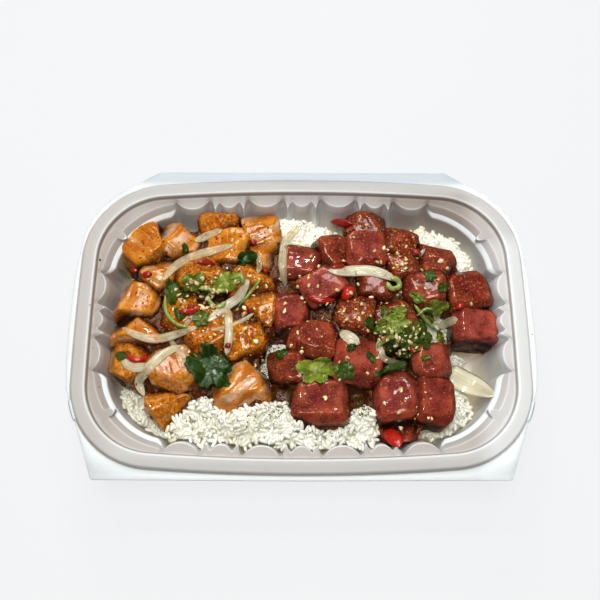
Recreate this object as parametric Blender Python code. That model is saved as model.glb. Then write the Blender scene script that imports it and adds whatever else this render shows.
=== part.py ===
"""Diced salmon and tuna over rice, in the fluted takeaway tray that holds them.

X runs along the tray, Y from its front to its back and Z up. The origin is on the table under the tray's
middle. All sizes here are in millimetres, and make_object turns them into metres.
"""

import math
import random
from collections import namedtuple

import bmesh
import bpy
import numpy as np
from mathutils import Matrix, Vector
from mathutils.bvhtree import BVHTree

MM = 0.001
GAP = 0.3

# The tray
TRAY_HEIGHT = 40.0
SKIN = 0.9
RIM_HALF_LENGTH = 101.5
RIM_HALF_WIDTH = 67.4
CORNER_RADIUS = 33.8
LONG_SIDE_BOW = 2.5
SHORT_SIDE_BOW = 0.45
FLANGE_WIDTH = 6.4
GROOVE_WIDTH = 0.8
SKIRT_DROP = 1.9
RIM_STEP_WIDTH = 0.9
RIM_STEP_DROP = 2.6
LEDGE_DROP = 3.4
FILLET_INSET = 0.9
FILLET_DROP = 5.4
UPPER_WALL_DROP = 9.5
WALL_SLOPE = 0.25
CORNER_SLOPE = 0.17
FILLET_TOP = 5.0
FLOOR_FILLET = 3.5
FLUTE_LEFT_AT_FLOOR = 0.3
STRIP_WIDTH = 2.5
STRIP_BAND = 2.7
STRIP_DROP = 6.4
STRIP_INSET_AT_ENDS = 6.3
STRIP_INSET_AT_MIDDLE = 10.1
CORNER_ANGLES = (9.0, 21.0, 33.0, 45.0, 57.7, 70.0, 83.5)
# One flute is a rounded lobe between two sharp recesses, and a thin rib parts it from the next one.
Flutes = namedtuple("Flutes", "wide narrow gap lobe_inset rib_inset wide_spike narrow_spike")
LONG_FLUTES = Flutes(17.5, 9.5, 5.0, 6.4, 6.0, 1.2, 3.3)
SHORT_FLUTES = Flutes(16.2, 8.4, 4.9, 5.3, 5.0, 1.5, 3.0)
# The skirt's outline on the right half, from the middle of the back tab round to the middle of the front tab.
SKIRT_OUTLINE = [
    (0, 78.0), (73.0, 78.0), (82.0, 72.3), (93.8, 65.0), (100.3, 58.5), (105.0, 51.5), (108.3, 43.0),
    (110.9, 22.0), (111.5, -6.0), (111.3, -22.0), (110.0, -35.5), (95.0, -77.5), (0, -78.0),
]

# The rice: mounds (x, y, radius in x, radius in y, height) over a low bed, and how far it reaches towards
# the wall in each direction, as (degrees from +X, share of the way).
RICE_BED = 11.0
RICE_MOUNDS = [
    (-20, -46, 50, 42, 32.5), (16, -46, 34, 36, 32.5), (-62, -34, 28, 26, 22), (10, 0, 62, 46, 26),
    (-50, 20, 52, 44, 22), (-6, 46, 26, 26, 24), (48, 22, 46, 34, 22), (56, -30, 28, 26, 19),
    (68, 42, 22, 16, 20), (77, -39, 14, 13, 21), (-76, -38, 16, 14, 19),
]
RICE_REACH = [
    (0, 0.86), (14, 0.95), (26, 0.97), (38, 0.97), (60, 0.93), (100, 0.97), (140, 0.95), (165, 0.93),
    (190, 0.9), (200, 0.95), (208, 0.98), (222, 0.985), (236, 0.985), (248, 0.995), (296, 0.995),
    (308, 0.95), (324, 0.97), (332, 0.95), (338, 0.84), (346, 0.76),
]
RICE_COLUMNS = 30
RICE_ROWS = 20
RICE_RIPPLE = 0.9
# Where the rice stops short of the wall, its outermost tenth falls by this much.
RICE_FALL = 4.0
RICE_AT_WALL = 0.96
RICE_CLEARANCE = 0.48
RICE_PRESSES = 14
GRAIN_LENGTH = 6.6
GRAIN_WIDTH = 2.7
GRAIN_DEPTH = 0.85
GRAIN_SIZES = (0.88, 1.1)
GRAIN_TILTS = (-0.25, 0.3)
GRAIN_RISE = 0.2
GRAIN_COUNT = 46
GRAIN_SPACING = 5.4
GRAIN_TRIES = 20000

# The layout below was read on a level plane this high, looking from the front at this steepness.
READ_HEIGHT = 34.0
READ_SLOPE = 0.33
READ_SPREAD = 0.0024

# Each piece of fish is this much larger than it shows, and is cut back where it meets the next one.
SQUEEZE = 2.4
# How far the faces of a piece lean out of square, at its top and bottom and at its sides, and how much
# comes off its edges and off two of its corners.
Cutting = namedtuple("Cutting", "top_skew side_skew edge_least edge_most corner_least corner_most")
SALMON_CUTTING = Cutting(0.1, 0.2, 1.1, 2.3, 2.6, 6.0)
TUNA_CUTTING = Cutting(0.03, 0.1, 1.1, 2.3, 2.6, 4.4)
# Fish: x, y, height of the top, width, depth, thickness, then in degrees the turn, the tilt to the back and
# the tilt to the right.
SALMON = [
    (-78, 41, 35, 22, 20, 15, 18, -8, -6),
    (-63, 42, 35, 12, 20, 14, 48, 4, 8),
    (-42, 52, 33, 17, 13, 13, 6, 10, 0),
    (-37, 40, 38, 18, 18, 16, -8, -4, 4),
    (-22, 49, 35, 16, 15, 14, 12, 8, 6),
    (-18, 35, 38, 14, 13, 14, -14, 0, 5),
    (-26, 22, 40, 17, 14, 15, 10, -5, 3),
    (-20, 8, 39, 12, 18, 15, 4, 3, 8),
    (-26, -9, 40, 14, 18, 15, -6, -5, 4),
    (-29, -32, 40, 22, 18, 13, 20, -9, -6),
    (-61, -24, 37, 20, 19, 15, 24, -8, 5),
    (-66, -40, 35, 16, 17, 14, -38, -14, 4),
    (-84, -21, 34, 18, 18, 15, -22, -8, -8),
    (-81, -4, 36, 22, 14, 15, 8, 5, -6),
    (-79, 11, 37, 19, 18, 16, -5, -6, -4),
    (-71, 26, 37, 15, 12, 14, 20, 5, 5),
    (-50, 27, 38, 20, 14, 15, -8, -4, 3),
    (-62, 5, 37, 16, 16, 15, 12, 0, 4),
    (-46, -6, 37, 20, 22, 15, -10, -4, 0),
]
TUNA = [
    (32, 52, 34, 17, 12, 13, -6, 12, 4),
    (33, 39, 38, 19, 17, 16, 5, -6, -3),
    (49, 42, 35, 16, 13, 14, -14, 4, 6),
    (48, 29, 37, 14, 14, 15, 12, -5, 4),
    (0, 32, 39, 17, 13, 15, -4, 5, -4),
    (15, 38, 38, 14, 14, 15, 10, 4, 3),
    (11, 19, 41, 18, 16, 15, 30, -8, -4),
    (-5, 5, 38, 14, 17, 15, 6, -4, -6),
    (6, -8, 41, 19, 15, 15, -8, -7, 4),
    (-6, -23, 39, 14, 15, 14, 8, -6, -5),
    (9, -39, 40, 21, 18, 14, -3, -10, -3),
    (27, -20, 41, 19, 18, 15, -10, -6, 5),
    (45, -37, 38, 17, 18, 15, 4, -8, -4),
    (62, -38, 36, 15, 19, 14, -4, -8, 6),
    (45, -52, 30, 15, 13, 13, -6, -16, 0),
    (62, -20, 36, 14, 14, 14, 10, -4, 6),
    (84, -3, 34, 17, 17, 15, -4, -6, 6),
    (82, 17, 35, 18, 16, 15, 8, -4, 5),
    (66, 33, 35, 18, 13, 14, -12, 5, 5),
    (61, 17, 39, 17, 15, 15, -6, -4, -4),
    (35, 19, 38, 14, 13, 14, 8, 4, 4),
    (25, 5, 39, 17, 16, 15, -12, -5, 4),
    (45, 0, 36, 18, 18, 15, 14, -4, 4),
]

# Onion: points of the strip's middle line, and its width
ONIONS = [
    ([(-69, 21), (-63, 29), (-55, 34), (-45, 37.5), (-36, 39.5)], 5.2),
    ([(-54, 42.5), (-48, 45.5), (-42, 48)], 4.0),
    ([(0, 51), (-7, 46), (-9, 41), (-9.5, 30), (-8, 18)], 3.5),
    ([(-87, -3), (-79, -7), (-68, -8.5), (-56, -5)], 4.6),
    ([(-58, -12), (-67, -17), (-74, -25), (-77, -30), (-73, -36)], 5.0),
    ([(-36, 7), (-35, -4), (-36, -16)], 5.4),
    ([(-26, 22), (-31, 13), (-37, 8), (-45, 1)], 4.8),
    ([(13, 27), (20, 26.5), (30, 27), (36, 26.5), (43, 24), (47, 21)], 5.4),
    ([(60, -26), (69, -26.5), (79, -30), (86, -36)], 7.0),
]
ONION_THICKNESS = 1.3
ONION_END_WIDTH = 0.35
ONION_CROWN = 0.8
ONION_LEAN = 0.25
ONION_BEND = 0.06
ONION_STEP = 4
# Strips and leaves lie on the fish, about this far up.
TOPPING_HEIGHT = 40.0

# Leaves: x, y, length, width, turn in degrees, how many lobes its edge has
LEAVES = [
    (-44, -20, 20, 17, -20, 3),
    (7, -25, 18, 13, 6, 5),
    (46, -1, 17, 11, 8, 4),
    (66, 7, 12, 9, 20, 4),
    (20, -25, 11, 11, -30, 3),
]
LEAF_THICKNESS = 0.6
LEAF_POINTS = 24
LEAF_NOTCH = 0.36
LEAF_WAVE = 0.7
LEAF_BEND = 0.035
LEAF_TOUCH = 2.2

# Chilli: x, y, length, width, turn in degrees
CHILLIES = [(20, 53, 11, 5, -6), (42.5, -57, 12, 9, -24)]
CHILLI_HEIGHT = 3.2

# Bits fused to the fish that they lie on: x, y, length, width, turn
CHILLI_BITS = [
    (-77, 24, 6, 3.6, 20), (-47.5, 31, 6.5, 3.4, 0), (-53, 7, 10, 3, 15), (-79, -17, 6, 3, 0),
    (22.5, 15, 8, 5, 40),
]
GREEN_BITS = [
    (-39, 19, 9, 7, 10), (-66, 10, 7, 5, 30), (-49, -2, 8, 6, 60), (-29, 34, 9, 7, 30),
    (64, 24, 6, 5, 0), (32, -26, 12, 4, 24), (45, 20, 5, 5, 0), (70, 18, 5, 4, 40),
]
GARLIC_BITS = [
    (8, 29), (-1, 27), (1, 9), (28, 19.5), (41, 39), (44, 33), (48, 36), (67.5, 22), (69, 32), (84, 10),
    (28, 2), (-6, -12), (11, -38), (18, -29), (39, -40), (49, -38), (59, -46), (-62, 16), (-28, 7),
    (-27, -13), (27, 12), (55, -33), (66, -42), (29, -17), (10, -4), (33, 50), (-36, 46), (-80, 38),
    (-64, -42), (-86, -24),
]
BIT_HEIGHT = 1.6
FLAT_BIT_HEIGHT = 2.0
BIT_STEEPEST = 0.7
BIT_OVERHANG = 3.0
BIT_RISE = 0.15
BIT_EDGE = 0.4
BIT_SEARCH = (0, 1.5, 3.0, 4.5)
GARLIC_SIZE = 2.7

CELL = 0.5
MERGE = 0.08
FLAT_ANGLE = 1.5
FAR = 1e9
ABOVE_ALL = 200.0
BELOW_ALL = -100.0
DOWN = Vector((0, 0, -1))
UP = Vector((0, 0, 1))
# Blocks whose centres lie further apart than this can't meet.
BLOCKS_MEET = 34.0
WALL_CUTS = 4
FACING = 0.2
HALF_SPAN_X = 114
HALF_SPAN_Y = 82

Station = namedtuple("Station", "x y nx ny edge lobe corner")


def clear_scene():
    for obj in list(bpy.data.objects):
        bpy.data.objects.remove(obj)


def material(name, colour, roughness):
    made = bpy.data.materials.new(name)
    made.use_nodes = True
    shader = made.node_tree.nodes["Principled BSDF"]
    shader.inputs["Base Color"].default_value = (*colour, 1.0)
    shader.inputs["Roughness"].default_value = roughness
    shader.inputs["Metallic"].default_value = 0.0
    return made


def make_object(name, bm, finish, smooth_angle):
    """Turns a bmesh in millimetres into an object in metres with its own material."""
    bmesh.ops.scale(bm, vec=(MM, MM, MM), verts=bm.verts)
    mesh = bpy.data.meshes.new(name)
    bm.to_mesh(mesh)
    bm.free()
    mesh.materials.append(finish)
    if smooth_angle:
        mesh.shade_smooth()
        mesh.set_sharp_from_angle(angle=math.radians(smooth_angle))
    obj = bpy.data.objects.new(name, mesh)
    bpy.context.scene.collection.objects.link(obj)
    return obj


def loft(bm, rings):
    """Joins rings of as many points each, and closes the first and the last with a face."""
    rows = [[bm.verts.new(point) for point in ring] for ring in rings]
    count = len(rows[0])
    for lower, upper in zip(rows, rows[1:]):
        for k in range(count):
            after = (k + 1) % count
            bm.faces.new((lower[k], lower[after], upper[after], upper[k]))
    bm.faces.new(list(reversed(rows[0])))
    bm.faces.new(rows[-1])
    bmesh.ops.recalc_face_normals(bm, faces=bm.faces)


# The tray's outline

def arc_radius(half_chord, bow):
    return (half_chord**2 + bow**2) / (2 * bow)


LONG_RADIUS = arc_radius(RIM_HALF_LENGTH - CORNER_RADIUS, LONG_SIDE_BOW)
SHORT_RADIUS = arc_radius(RIM_HALF_WIDTH - CORNER_RADIUS, SHORT_SIDE_BOW)


def corner_centre():
    """The centre of the corner's arc, which runs on smoothly from both bowed sides."""
    long_centre = Vector((0, RIM_HALF_WIDTH - LONG_RADIUS))
    short_centre = Vector((RIM_HALF_LENGTH - SHORT_RADIUS, 0))
    reach_long = LONG_RADIUS - CORNER_RADIUS
    reach_short = SHORT_RADIUS - CORNER_RADIUS
    span = short_centre - long_centre
    distance = span.length
    along = (reach_long**2 - reach_short**2 + distance**2) / (2 * distance)
    across = math.sqrt(reach_long**2 - along**2)
    way = span / distance
    centre = long_centre + way * along + Vector((way.y, -way.x)) * across
    return centre


CORNER = corner_centre()


def on_long_side(x):
    turn = math.asin(x / LONG_RADIUS)
    return x, RIM_HALF_WIDTH - LONG_RADIUS * (1 - math.cos(turn)), math.sin(turn), math.cos(turn)


def on_short_side(y):
    turn = math.asin(y / SHORT_RADIUS)
    return RIM_HALF_LENGTH - SHORT_RADIUS * (1 - math.cos(turn)), y, math.cos(turn), math.sin(turn)


def on_corner(degrees):
    turn = math.radians(degrees)
    nx, ny = math.cos(turn), math.sin(turn)
    return CORNER.x + CORNER_RADIUS * nx, CORNER.y + CORNER_RADIUS * ny, nx, ny


def half_flutes(flutes, panels):
    """Distances from a side's middle, and how far in the ledge's edge lies there, out to the last recess."""
    places = [(0.0, flutes.lobe_inset)]
    at = flutes.narrow / 2
    places.append((at, flutes.narrow_spike))
    for kind in panels:
        places.append((at + flutes.gap / 2, flutes.rib_inset))
        at += flutes.gap
        wide = kind == "wide"
        width = flutes.wide if wide else flutes.narrow
        spike = flutes.wide_spike if wide else flutes.narrow_spike
        places.append((at, spike))
        for share in (0.18, 0.5, 0.82) if wide else (0.5,):
            depth = 1 - abs(2 * share - 1) ** 2.2
            places.append((at + width * share, spike + (flutes.lobe_inset - spike) * depth))
        at += width
        places.append((at, spike))
    return places


def quarter_stations():
    """Stations round a quarter of the rim, from the middle of the right side to the middle of the back."""
    stations = []
    for y, edge in half_flutes(SHORT_FLUTES, ["wide"]):
        stations.append(Station(*on_short_side(y), edge, SHORT_FLUTES.lobe_inset, False))
    for degrees in CORNER_ANGLES:
        swell = math.sin(math.radians(2 * degrees)) ** 0.8
        strip = STRIP_INSET_AT_ENDS + (STRIP_INSET_AT_MIDDLE - STRIP_INSET_AT_ENDS) * swell
        stations.append(Station(*on_corner(degrees), strip - STRIP_WIDTH / 2 - STRIP_BAND, strip, True))
    for x, edge in reversed(half_flutes(LONG_FLUTES, ["wide", "narrow", "wide"])):
        stations.append(Station(*on_long_side(x), edge, LONG_FLUTES.lobe_inset, False))
    return stations


def mirrored(stations, sx, sy):
    return [s._replace(x=s.x * sx, y=s.y * sy, nx=s.nx * sx, ny=s.ny * sy) for s in stations]


def all_stations():
    quarter = quarter_stations()
    back_left = list(reversed(mirrored(quarter, -1, 1)))[1:]
    front_left = mirrored(quarter, -1, -1)[1:]
    front_right = list(reversed(mirrored(quarter, 1, -1)))[1:-1]
    return quarter + back_left + front_left + front_right


STATIONS = all_stations()


def skirt_point(station):
    """Where the way straight out from the rim meets the skirt's outline."""
    start = Vector((abs(station.x), station.y))
    way = Vector((abs(station.nx), station.ny))
    for (x0, y0), (x1, y1) in zip(SKIRT_OUTLINE, SKIRT_OUTLINE[1:]):
        edge = Vector((x1 - x0, y1 - y0))
        turn = way.x * edge.y - way.y * edge.x
        if abs(turn) < 1e-9:
            continue
        to_edge = Vector((x0, y0)) - start
        out = (to_edge.x * edge.y - to_edge.y * edge.x) / turn
        share = (to_edge.x * way.y - to_edge.y * way.x) / turn
        if out > 0 and -1e-4 <= share <= 1 + 1e-4:
            return start + way * out
    raise ValueError("the way out misses the skirt")


def wall_inset(station, z):
    """How far in from the rim line the wall's face lies, without its recesses."""
    if station.corner:
        top = TRAY_HEIGHT - STRIP_DROP - 0.5
        inset = station.lobe + STRIP_WIDTH / 2 + CORNER_SLOPE * (top - max(z, FILLET_TOP))
    else:
        top = TRAY_HEIGHT - FILLET_DROP
        inset = station.lobe + FILLET_INSET + WALL_SLOPE * (top - max(z, FILLET_TOP))
    return inset + FLOOR_FILLET * max(0.0, FILLET_TOP - z) / (FILLET_TOP - SKIN)


def tray_profile(station):
    """(inset, height) pairs down the inside from the flange to the floor, then pairs under the tray."""
    top = TRAY_HEIGHT
    flute = station.lobe - station.edge
    if station.corner:
        outer = (station.lobe - STRIP_WIDTH / 2, top - STRIP_DROP)
        inner = (station.lobe + STRIP_WIDTH / 2, top - STRIP_DROP - 0.5)
        low = wall_inset(station, FILLET_TOP)
    else:
        outer = (station.edge + FILLET_INSET, top - FILLET_DROP)
        inner = (wall_inset(station, top - UPPER_WALL_DROP) - flute * 0.9, top - UPPER_WALL_DROP)
        low = wall_inset(station, FILLET_TOP) - flute * FLUTE_LEFT_AT_FLOOR
    floor = low + FLOOR_FILLET
    inside = [
        (-FLANGE_WIDTH - GROOVE_WIDTH, top - SKIRT_DROP + 0.3),
        (-FLANGE_WIDTH, top),
        (0, top),
        (RIM_STEP_WIDTH, top - RIM_STEP_DROP),
        (station.edge, top - LEDGE_DROP),
        outer,
        inner,
        (low, FILLET_TOP),
        (floor, SKIN),
    ]
    under = [
        (floor - 0.4, 0),
        (low - SKIN, FILLET_TOP - 0.6),
        (inner[0] - SKIN, inner[1] - SKIN),
        (min(outer[0], station.edge + 0.3) - SKIN, top - LEDGE_DROP - SKIN - 0.4),
        (0, top - RIM_STEP_DROP - SKIN),
        (-0.8, top - SKIN),
        (-FLANGE_WIDTH + 0.8, top - SKIN),
        (-FLANGE_WIDTH - GROOVE_WIDTH + 0.5, top - SKIRT_DROP - SKIN),
    ]
    return inside, under


def tray_rings():
    rings = []
    profiles = [tray_profile(station) for station in STATIONS]
    skirt = [skirt_point(station) for station in STATIONS]
    sides = [math.copysign(1, station.x) for station in STATIONS]

    def level(part, index):
        ring = []
        for station, profile in zip(STATIONS, profiles):
            inset, z = profile[part][index]
            ring.append((station.x - station.nx * inset, station.y - station.ny * inset, z))
        return ring

    rings += [level(1, index) for index in range(len(profiles[0][1]))]
    for drop in (SKIRT_DROP + SKIN, SKIRT_DROP):
        rings.append([(point.x * side, point.y, TRAY_HEIGHT - drop) for point, side in zip(skirt, sides)])
    rings += [level(0, index) for index in range(len(profiles[0][0]))]
    return rings


def make_tray(finish):
    bm = bmesh.new()
    loft(bm, tray_rings())
    return make_object("tray", bm, finish, 40)


# What lies in the tray

class Heights:
    """The height of what lies in the tray so far, on a square grid of cells."""

    def __init__(self):
        self.columns = int(2 * HALF_SPAN_X / CELL) + 1
        self.rows = int(2 * HALF_SPAN_Y / CELL) + 1
        self.top = np.zeros((self.rows, self.columns))

    def window(self, bm):
        points = np.array([v.co[:2] for v in bm.verts])
        low = np.floor((points.min(0) + (HALF_SPAN_X, HALF_SPAN_Y)) / CELL).astype(int)
        high = np.ceil((points.max(0) + (HALF_SPAN_X, HALF_SPAN_Y)) / CELL).astype(int)
        return range(low[1], high[1] + 1), range(low[0], high[0] + 1)

    def scan(self, bm, downward):
        """Cells under a mesh, with the height of its upper or lower face in each."""
        tree = BVHTree.FromBMesh(bm)
        way = DOWN if downward else UP
        start = ABOVE_ALL if downward else BELOW_ALL
        rows, columns = self.window(bm)
        for row in rows:
            y = row * CELL - HALF_SPAN_Y
            for column in columns:
                x = column * CELL - HALF_SPAN_X
                hit = tree.ray_cast(Vector((x, y, start)), way)
                if hit[0] is not None:
                    yield row, column, hit[0].z

    def add(self, bm):
        for row, column, z in self.scan(bm, True):
            self.top[row, column] = max(self.top[row, column], z)

    def over(self, x, y, radius):
        """The highest point within a radius."""
        column = int(round((x + HALF_SPAN_X) / CELL))
        row = int(round((y + HALF_SPAN_Y) / CELL))
        reach = int(math.ceil(radius / CELL))
        rows = self.top[max(row - reach, 0) : row + reach + 1]
        return float(rows[:, max(column - reach, 0) : column + reach + 1].max())

    def settle(self, bm):
        """Moves a mesh straight up or down until it just clears what it lies on."""
        lift = -FAR
        for row, column, z in self.scan(bm, False):
            below = self.top[max(row - 1, 0) : row + 2, max(column - 1, 0) : column + 2].max()
            lift = max(lift, below + GAP - z)
        bmesh.ops.translate(bm, verts=bm.verts, vec=(0, 0, lift))


def placed(x, y, top):
    """Where a place read on the reading plane lies when the piece's top is at another height."""
    drop = READ_HEIGHT - top
    return x * (1 + READ_SPREAD * drop), y * (1 + READ_SPREAD * drop) + READ_SLOPE * drop


def cut(bm, point, normal):
    """Cuts away what lies past a plane, and closes what is left as a convex body with flat faces."""
    geometry = list(bm.verts) + list(bm.edges) + list(bm.faces)
    bmesh.ops.bisect_plane(bm, geom=geometry, dist=1e-5, plane_co=point, plane_no=normal, clear_outer=True)
    bmesh.ops.remove_doubles(bm, verts=bm.verts, dist=MERGE)
    corners = [vert.co.copy() for vert in bm.verts]
    bm.clear()
    for corner in corners:
        bm.verts.new(corner)
    hull = bmesh.ops.convex_hull(bm, input=bm.verts)
    unused = set(hull["geom_interior"] + hull["geom_unused"])
    inner = [item for item in unused if isinstance(item, bmesh.types.BMVert)]
    bmesh.ops.delete(bm, geom=inner, context="VERTS")
    bmesh.ops.dissolve_limit(bm, angle_limit=math.radians(FLAT_ANGLE), verts=bm.verts, edges=bm.edges)


class Block:
    """A convex piece of fish: a leaning box with its edges and corners taken off."""

    def __init__(self, name, row, cutting, rng):
        x, y, top, width, depth, thickness, turn, tilt_back, tilt_right = row
        x, y = placed(x, y, top)
        self.name = name
        self.centre = Vector((x, y, top - thickness / 2))
        spin = Matrix.Rotation(math.radians(turn), 3, "Z")
        back = Matrix.Rotation(math.radians(tilt_back), 3, "X")
        right = Matrix.Rotation(math.radians(tilt_right), 3, "Y")
        self.turn = spin @ back @ right
        half = Vector(((width + SQUEEZE) / 2, (depth + SQUEEZE) / 2, thickness / 2))
        self.bm = bmesh.new()
        frame = Matrix.Translation(self.centre) @ self.turn.to_4x4()
        uncut = Matrix.Diagonal((2 * width, 2 * depth, 2 * thickness, 1))
        bmesh.ops.create_cube(self.bm, size=1, matrix=frame @ uncut)
        for axis in range(3):
            for side in (-1, 1):
                way = Vector((0, 0, 0))
                way[axis] = side
                skew = cutting.top_skew if axis == 2 else cutting.side_skew
                way += Vector((rng.uniform(-skew, skew), rng.uniform(-skew, skew), rng.uniform(-skew, skew)))
                self.trim(way, half[axis])
        for first, second in ((0, 2), (1, 2), (0, 1)):
            for side in (-1, 1):
                for other in (-1, 1):
                    if other < 0 and second == 2:
                        continue
                    way = Vector((0, 0, 0))
                    way[first] = side
                    way[second] = other
                    edge = (half[first] + half[second]) / math.sqrt(2)
                    self.trim(way, edge - rng.uniform(cutting.edge_least, cutting.edge_most))
        for side in (-1, 1):
            way = Vector((side, rng.choice((-1, 1)), rng.uniform(0.6, 1.4)))
            corner = (half.x + half.y + half.z) / math.sqrt(3)
            self.trim(way, corner - rng.uniform(cutting.corner_least, cutting.corner_most))

    def trim(self, way, distance):
        normal = (self.turn @ way).normalized()
        cut(self.bm, self.centre + normal * distance, normal)

    def points(self):
        return np.array([v.co[:] for v in self.bm.verts])


def part_blocks(first, second):
    """Where two blocks would cross, both are cut back to a plane midway through the crossing."""
    points = (first.points(), second.points())
    ways = [block.turn.col[axis].copy() for block in (first, second) for axis in range(3)]
    between = second.centre - first.centre
    between.z = 0
    if between.length > 1:
        ways.append(between.normalized())
    best = None
    for way in ways:
        if way.dot(second.centre - first.centre) < 0:
            way = -way
        ends = [values @ np.array(way) for values in points]
        crossing = ends[0].max() + GAP - ends[1].min()
        if crossing <= 0:
            return
        if best is None or crossing < best[0]:
            best = (crossing, way, (ends[0].max() + ends[1].min()) / 2)
    _, way, middle = best
    cut(first.bm, way * (middle - GAP / 2), way)
    cut(second.bm, way * (middle + GAP / 2), -way)


def keep_off_wall(block):
    """Cuts a block back to a plane just inside the tray's wall, where it would reach into it."""
    middle = TRAY_HEIGHT / 2
    for _ in range(WALL_CUTS):
        points = block.points()
        worst = None
        for station in STATIONS:
            slope = CORNER_SLOPE if station.corner else WALL_SLOPE
            normal = Vector((station.nx, station.ny, -slope))
            inset = wall_inset(station, middle) + GAP
            face = Vector((station.x - station.nx * inset, station.y - station.ny * inset, middle))
            reach = float((points @ np.array(normal)).max() - normal.dot(face))
            if reach > MERGE / 4 and (worst is None or reach > worst[0]):
                worst = (reach, face, normal.normalized())
        if worst is None:
            return
        cut(block.bm, worst[1], worst[2])


def make_blocks():
    rng = random.Random(5)
    blocks = []
    for kind, rows, cutting in (("salmon", SALMON, SALMON_CUTTING), ("tuna", TUNA, TUNA_CUTTING)):
        for number, row in enumerate(rows, 1):
            blocks.append(Block(f"{kind}_{number:02d}", row, cutting, rng))
    for _ in range(2):
        for index, first in enumerate(blocks):
            for second in blocks[index + 1 :]:
                if (first.centre - second.centre).length < BLOCKS_MEET:
                    part_blocks(first, second)
        for block in blocks:
            keep_off_wall(block)
    return blocks


# The rice

def wall_distance(turn, z):
    """How far the wall is from the middle, in one direction, at a height."""
    way = Vector((math.cos(turn), math.sin(turn)))
    nearest = FAR
    for station in STATIONS:
        facing = station.nx * way.x + station.ny * way.y
        if facing > FACING:
            inset = wall_inset(station, z) + 2 * GAP
            out = station.x * station.nx + station.y * station.ny - inset
            nearest = min(nearest, out / facing)
    return nearest


def rice_reach(turn):
    degrees = math.degrees(turn) % 360
    knots = RICE_REACH + [(RICE_REACH[0][0] + 360, RICE_REACH[0][1])]
    for (start, share), (end, next_share) in zip(knots, knots[1:]):
        if start <= degrees <= end:
            blend = (1 - math.cos(math.pi * (degrees - start) / (end - start))) / 2
            return share + (next_share - share) * blend
    return knots[0][1]


def rice_height(x, y):
    """The bed with its mounds, and ripples about as large as a grain."""
    height = RICE_BED
    for mound_x, mound_y, radius_x, radius_y, top in RICE_MOUNDS:
        away = ((x - mound_x) / radius_x) ** 2 + ((y - mound_y) / radius_y) ** 2
        if away < 1:
            height = max(height, RICE_BED + (top - RICE_BED) * (1 - away**1.5) ** 0.8)
    ripple = math.sin(0.83 * x + 1.3 * math.sin(0.37 * y)) * math.sin(0.91 * y + 1.1 * math.sin(0.29 * x))
    return height + RICE_RIPPLE * ripple


def rice_point(u, v):
    """A point of the rice's surface for a place on a square sheet, whose edge becomes the rice's edge."""
    share = max(abs(u), abs(v))
    if share < 1e-6:
        return Vector((0, 0, rice_height(0, 0)))
    turn = math.atan2(v * RIM_HALF_WIDTH, u * RIM_HALF_LENGTH)
    z = RICE_BED
    for _ in range(3):
        edge = rice_reach(turn) * wall_distance(turn, z)
        x, y = math.cos(turn) * edge * share, math.sin(turn) * edge * share
        z = rice_height(x, y)
        if rice_reach(turn) < RICE_AT_WALL:
            z -= RICE_FALL * max(0.0, 10 * share - 9)
    return Vector((x, y, z))


def press_rice(bm, sheet, blocks, heights):
    """Lowers the rice's surface until it clears the fish that lies on it."""
    under = np.full(heights.top.shape, FAR)
    for block in blocks:
        for row, column, z in heights.scan(block.bm, False):
            under[row, column] = min(under[row, column], z)
    cells = [(int(row), int(column)) for row, column in np.argwhere(under < FAR)]
    for _ in range(RICE_PRESSES):
        bm.verts.index_update()
        bm.faces.ensure_lookup_table()
        tree = BVHTree.FromBMesh(bm)
        lower = {}
        for row, column in cells:
            start = Vector((column * CELL - HALF_SPAN_X, row * CELL - HALF_SPAN_Y, ABOVE_ALL))
            hit, _, face, _ = tree.ray_cast(start, DOWN)
            if hit is None:
                continue
            excess = hit.z - (under[row, column] - RICE_CLEARANCE)
            if excess > 0:
                for vert in bm.faces[face].verts:
                    if vert in sheet:
                        lower[vert] = max(lower.get(vert, 0), excess)
        if not lower:
            break
        for vert, excess in lower.items():
            vert.co.z -= excess + MERGE


def make_rice_core(blocks, heights):
    """A sheet over the whole heap, with its edge carried down to the tray's floor."""
    bm = bmesh.new()
    grid = []
    for row in range(RICE_ROWS + 1):
        v = 2 * row / RICE_ROWS - 1
        places = [rice_point(2 * column / RICE_COLUMNS - 1, v) for column in range(RICE_COLUMNS + 1)]
        grid.append([bm.verts.new(place) for place in places])
    for near, far in zip(grid, grid[1:]):
        for column in range(RICE_COLUMNS):
            bm.faces.new((near[column], near[column + 1], far[column + 1], far[column]))
    right = [line[-1] for line in grid[:-1]]
    left = [line[0] for line in grid[:0:-1]]
    above = grid[0][:-1] + right + grid[-1][:0:-1] + left
    sheet = set(bm.verts)
    for z in (FILLET_TOP, SKIN + 1.5 * GAP):
        below = []
        for vert in above:
            turn = math.atan2(vert.co.y, vert.co.x)
            edge = min(rice_reach(turn) * wall_distance(turn, z), vert.co.xy.length - MERGE)
            below.append(bm.verts.new((math.cos(turn) * edge, math.sin(turn) * edge, z)))
        for k in range(len(above)):
            after = (k + 1) % len(above)
            bm.faces.new((below[k], below[after], above[after], above[k]))
        above = below
    bm.faces.new(list(reversed(above)))
    bmesh.ops.recalc_face_normals(bm, faces=bm.faces)
    bmesh.ops.triangulate(bm, faces=[face for face in bm.faces if len(face.verts) == 4])
    press_rice(bm, sheet, blocks, heights)
    return bm


def spindle(length, width, height, sides, rings):
    """A closed grain or seed shape that lies along X."""
    bm = bmesh.new()
    bmesh.ops.create_uvsphere(bm, u_segments=sides, v_segments=rings, radius=1)
    upright = Matrix.Rotation(math.radians(90), 4, "Y")
    bmesh.ops.transform(bm, matrix=upright, verts=bm.verts)
    bmesh.ops.scale(bm, vec=(length / 2, width / 2, height / 2), verts=bm.verts)
    return bm


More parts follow.
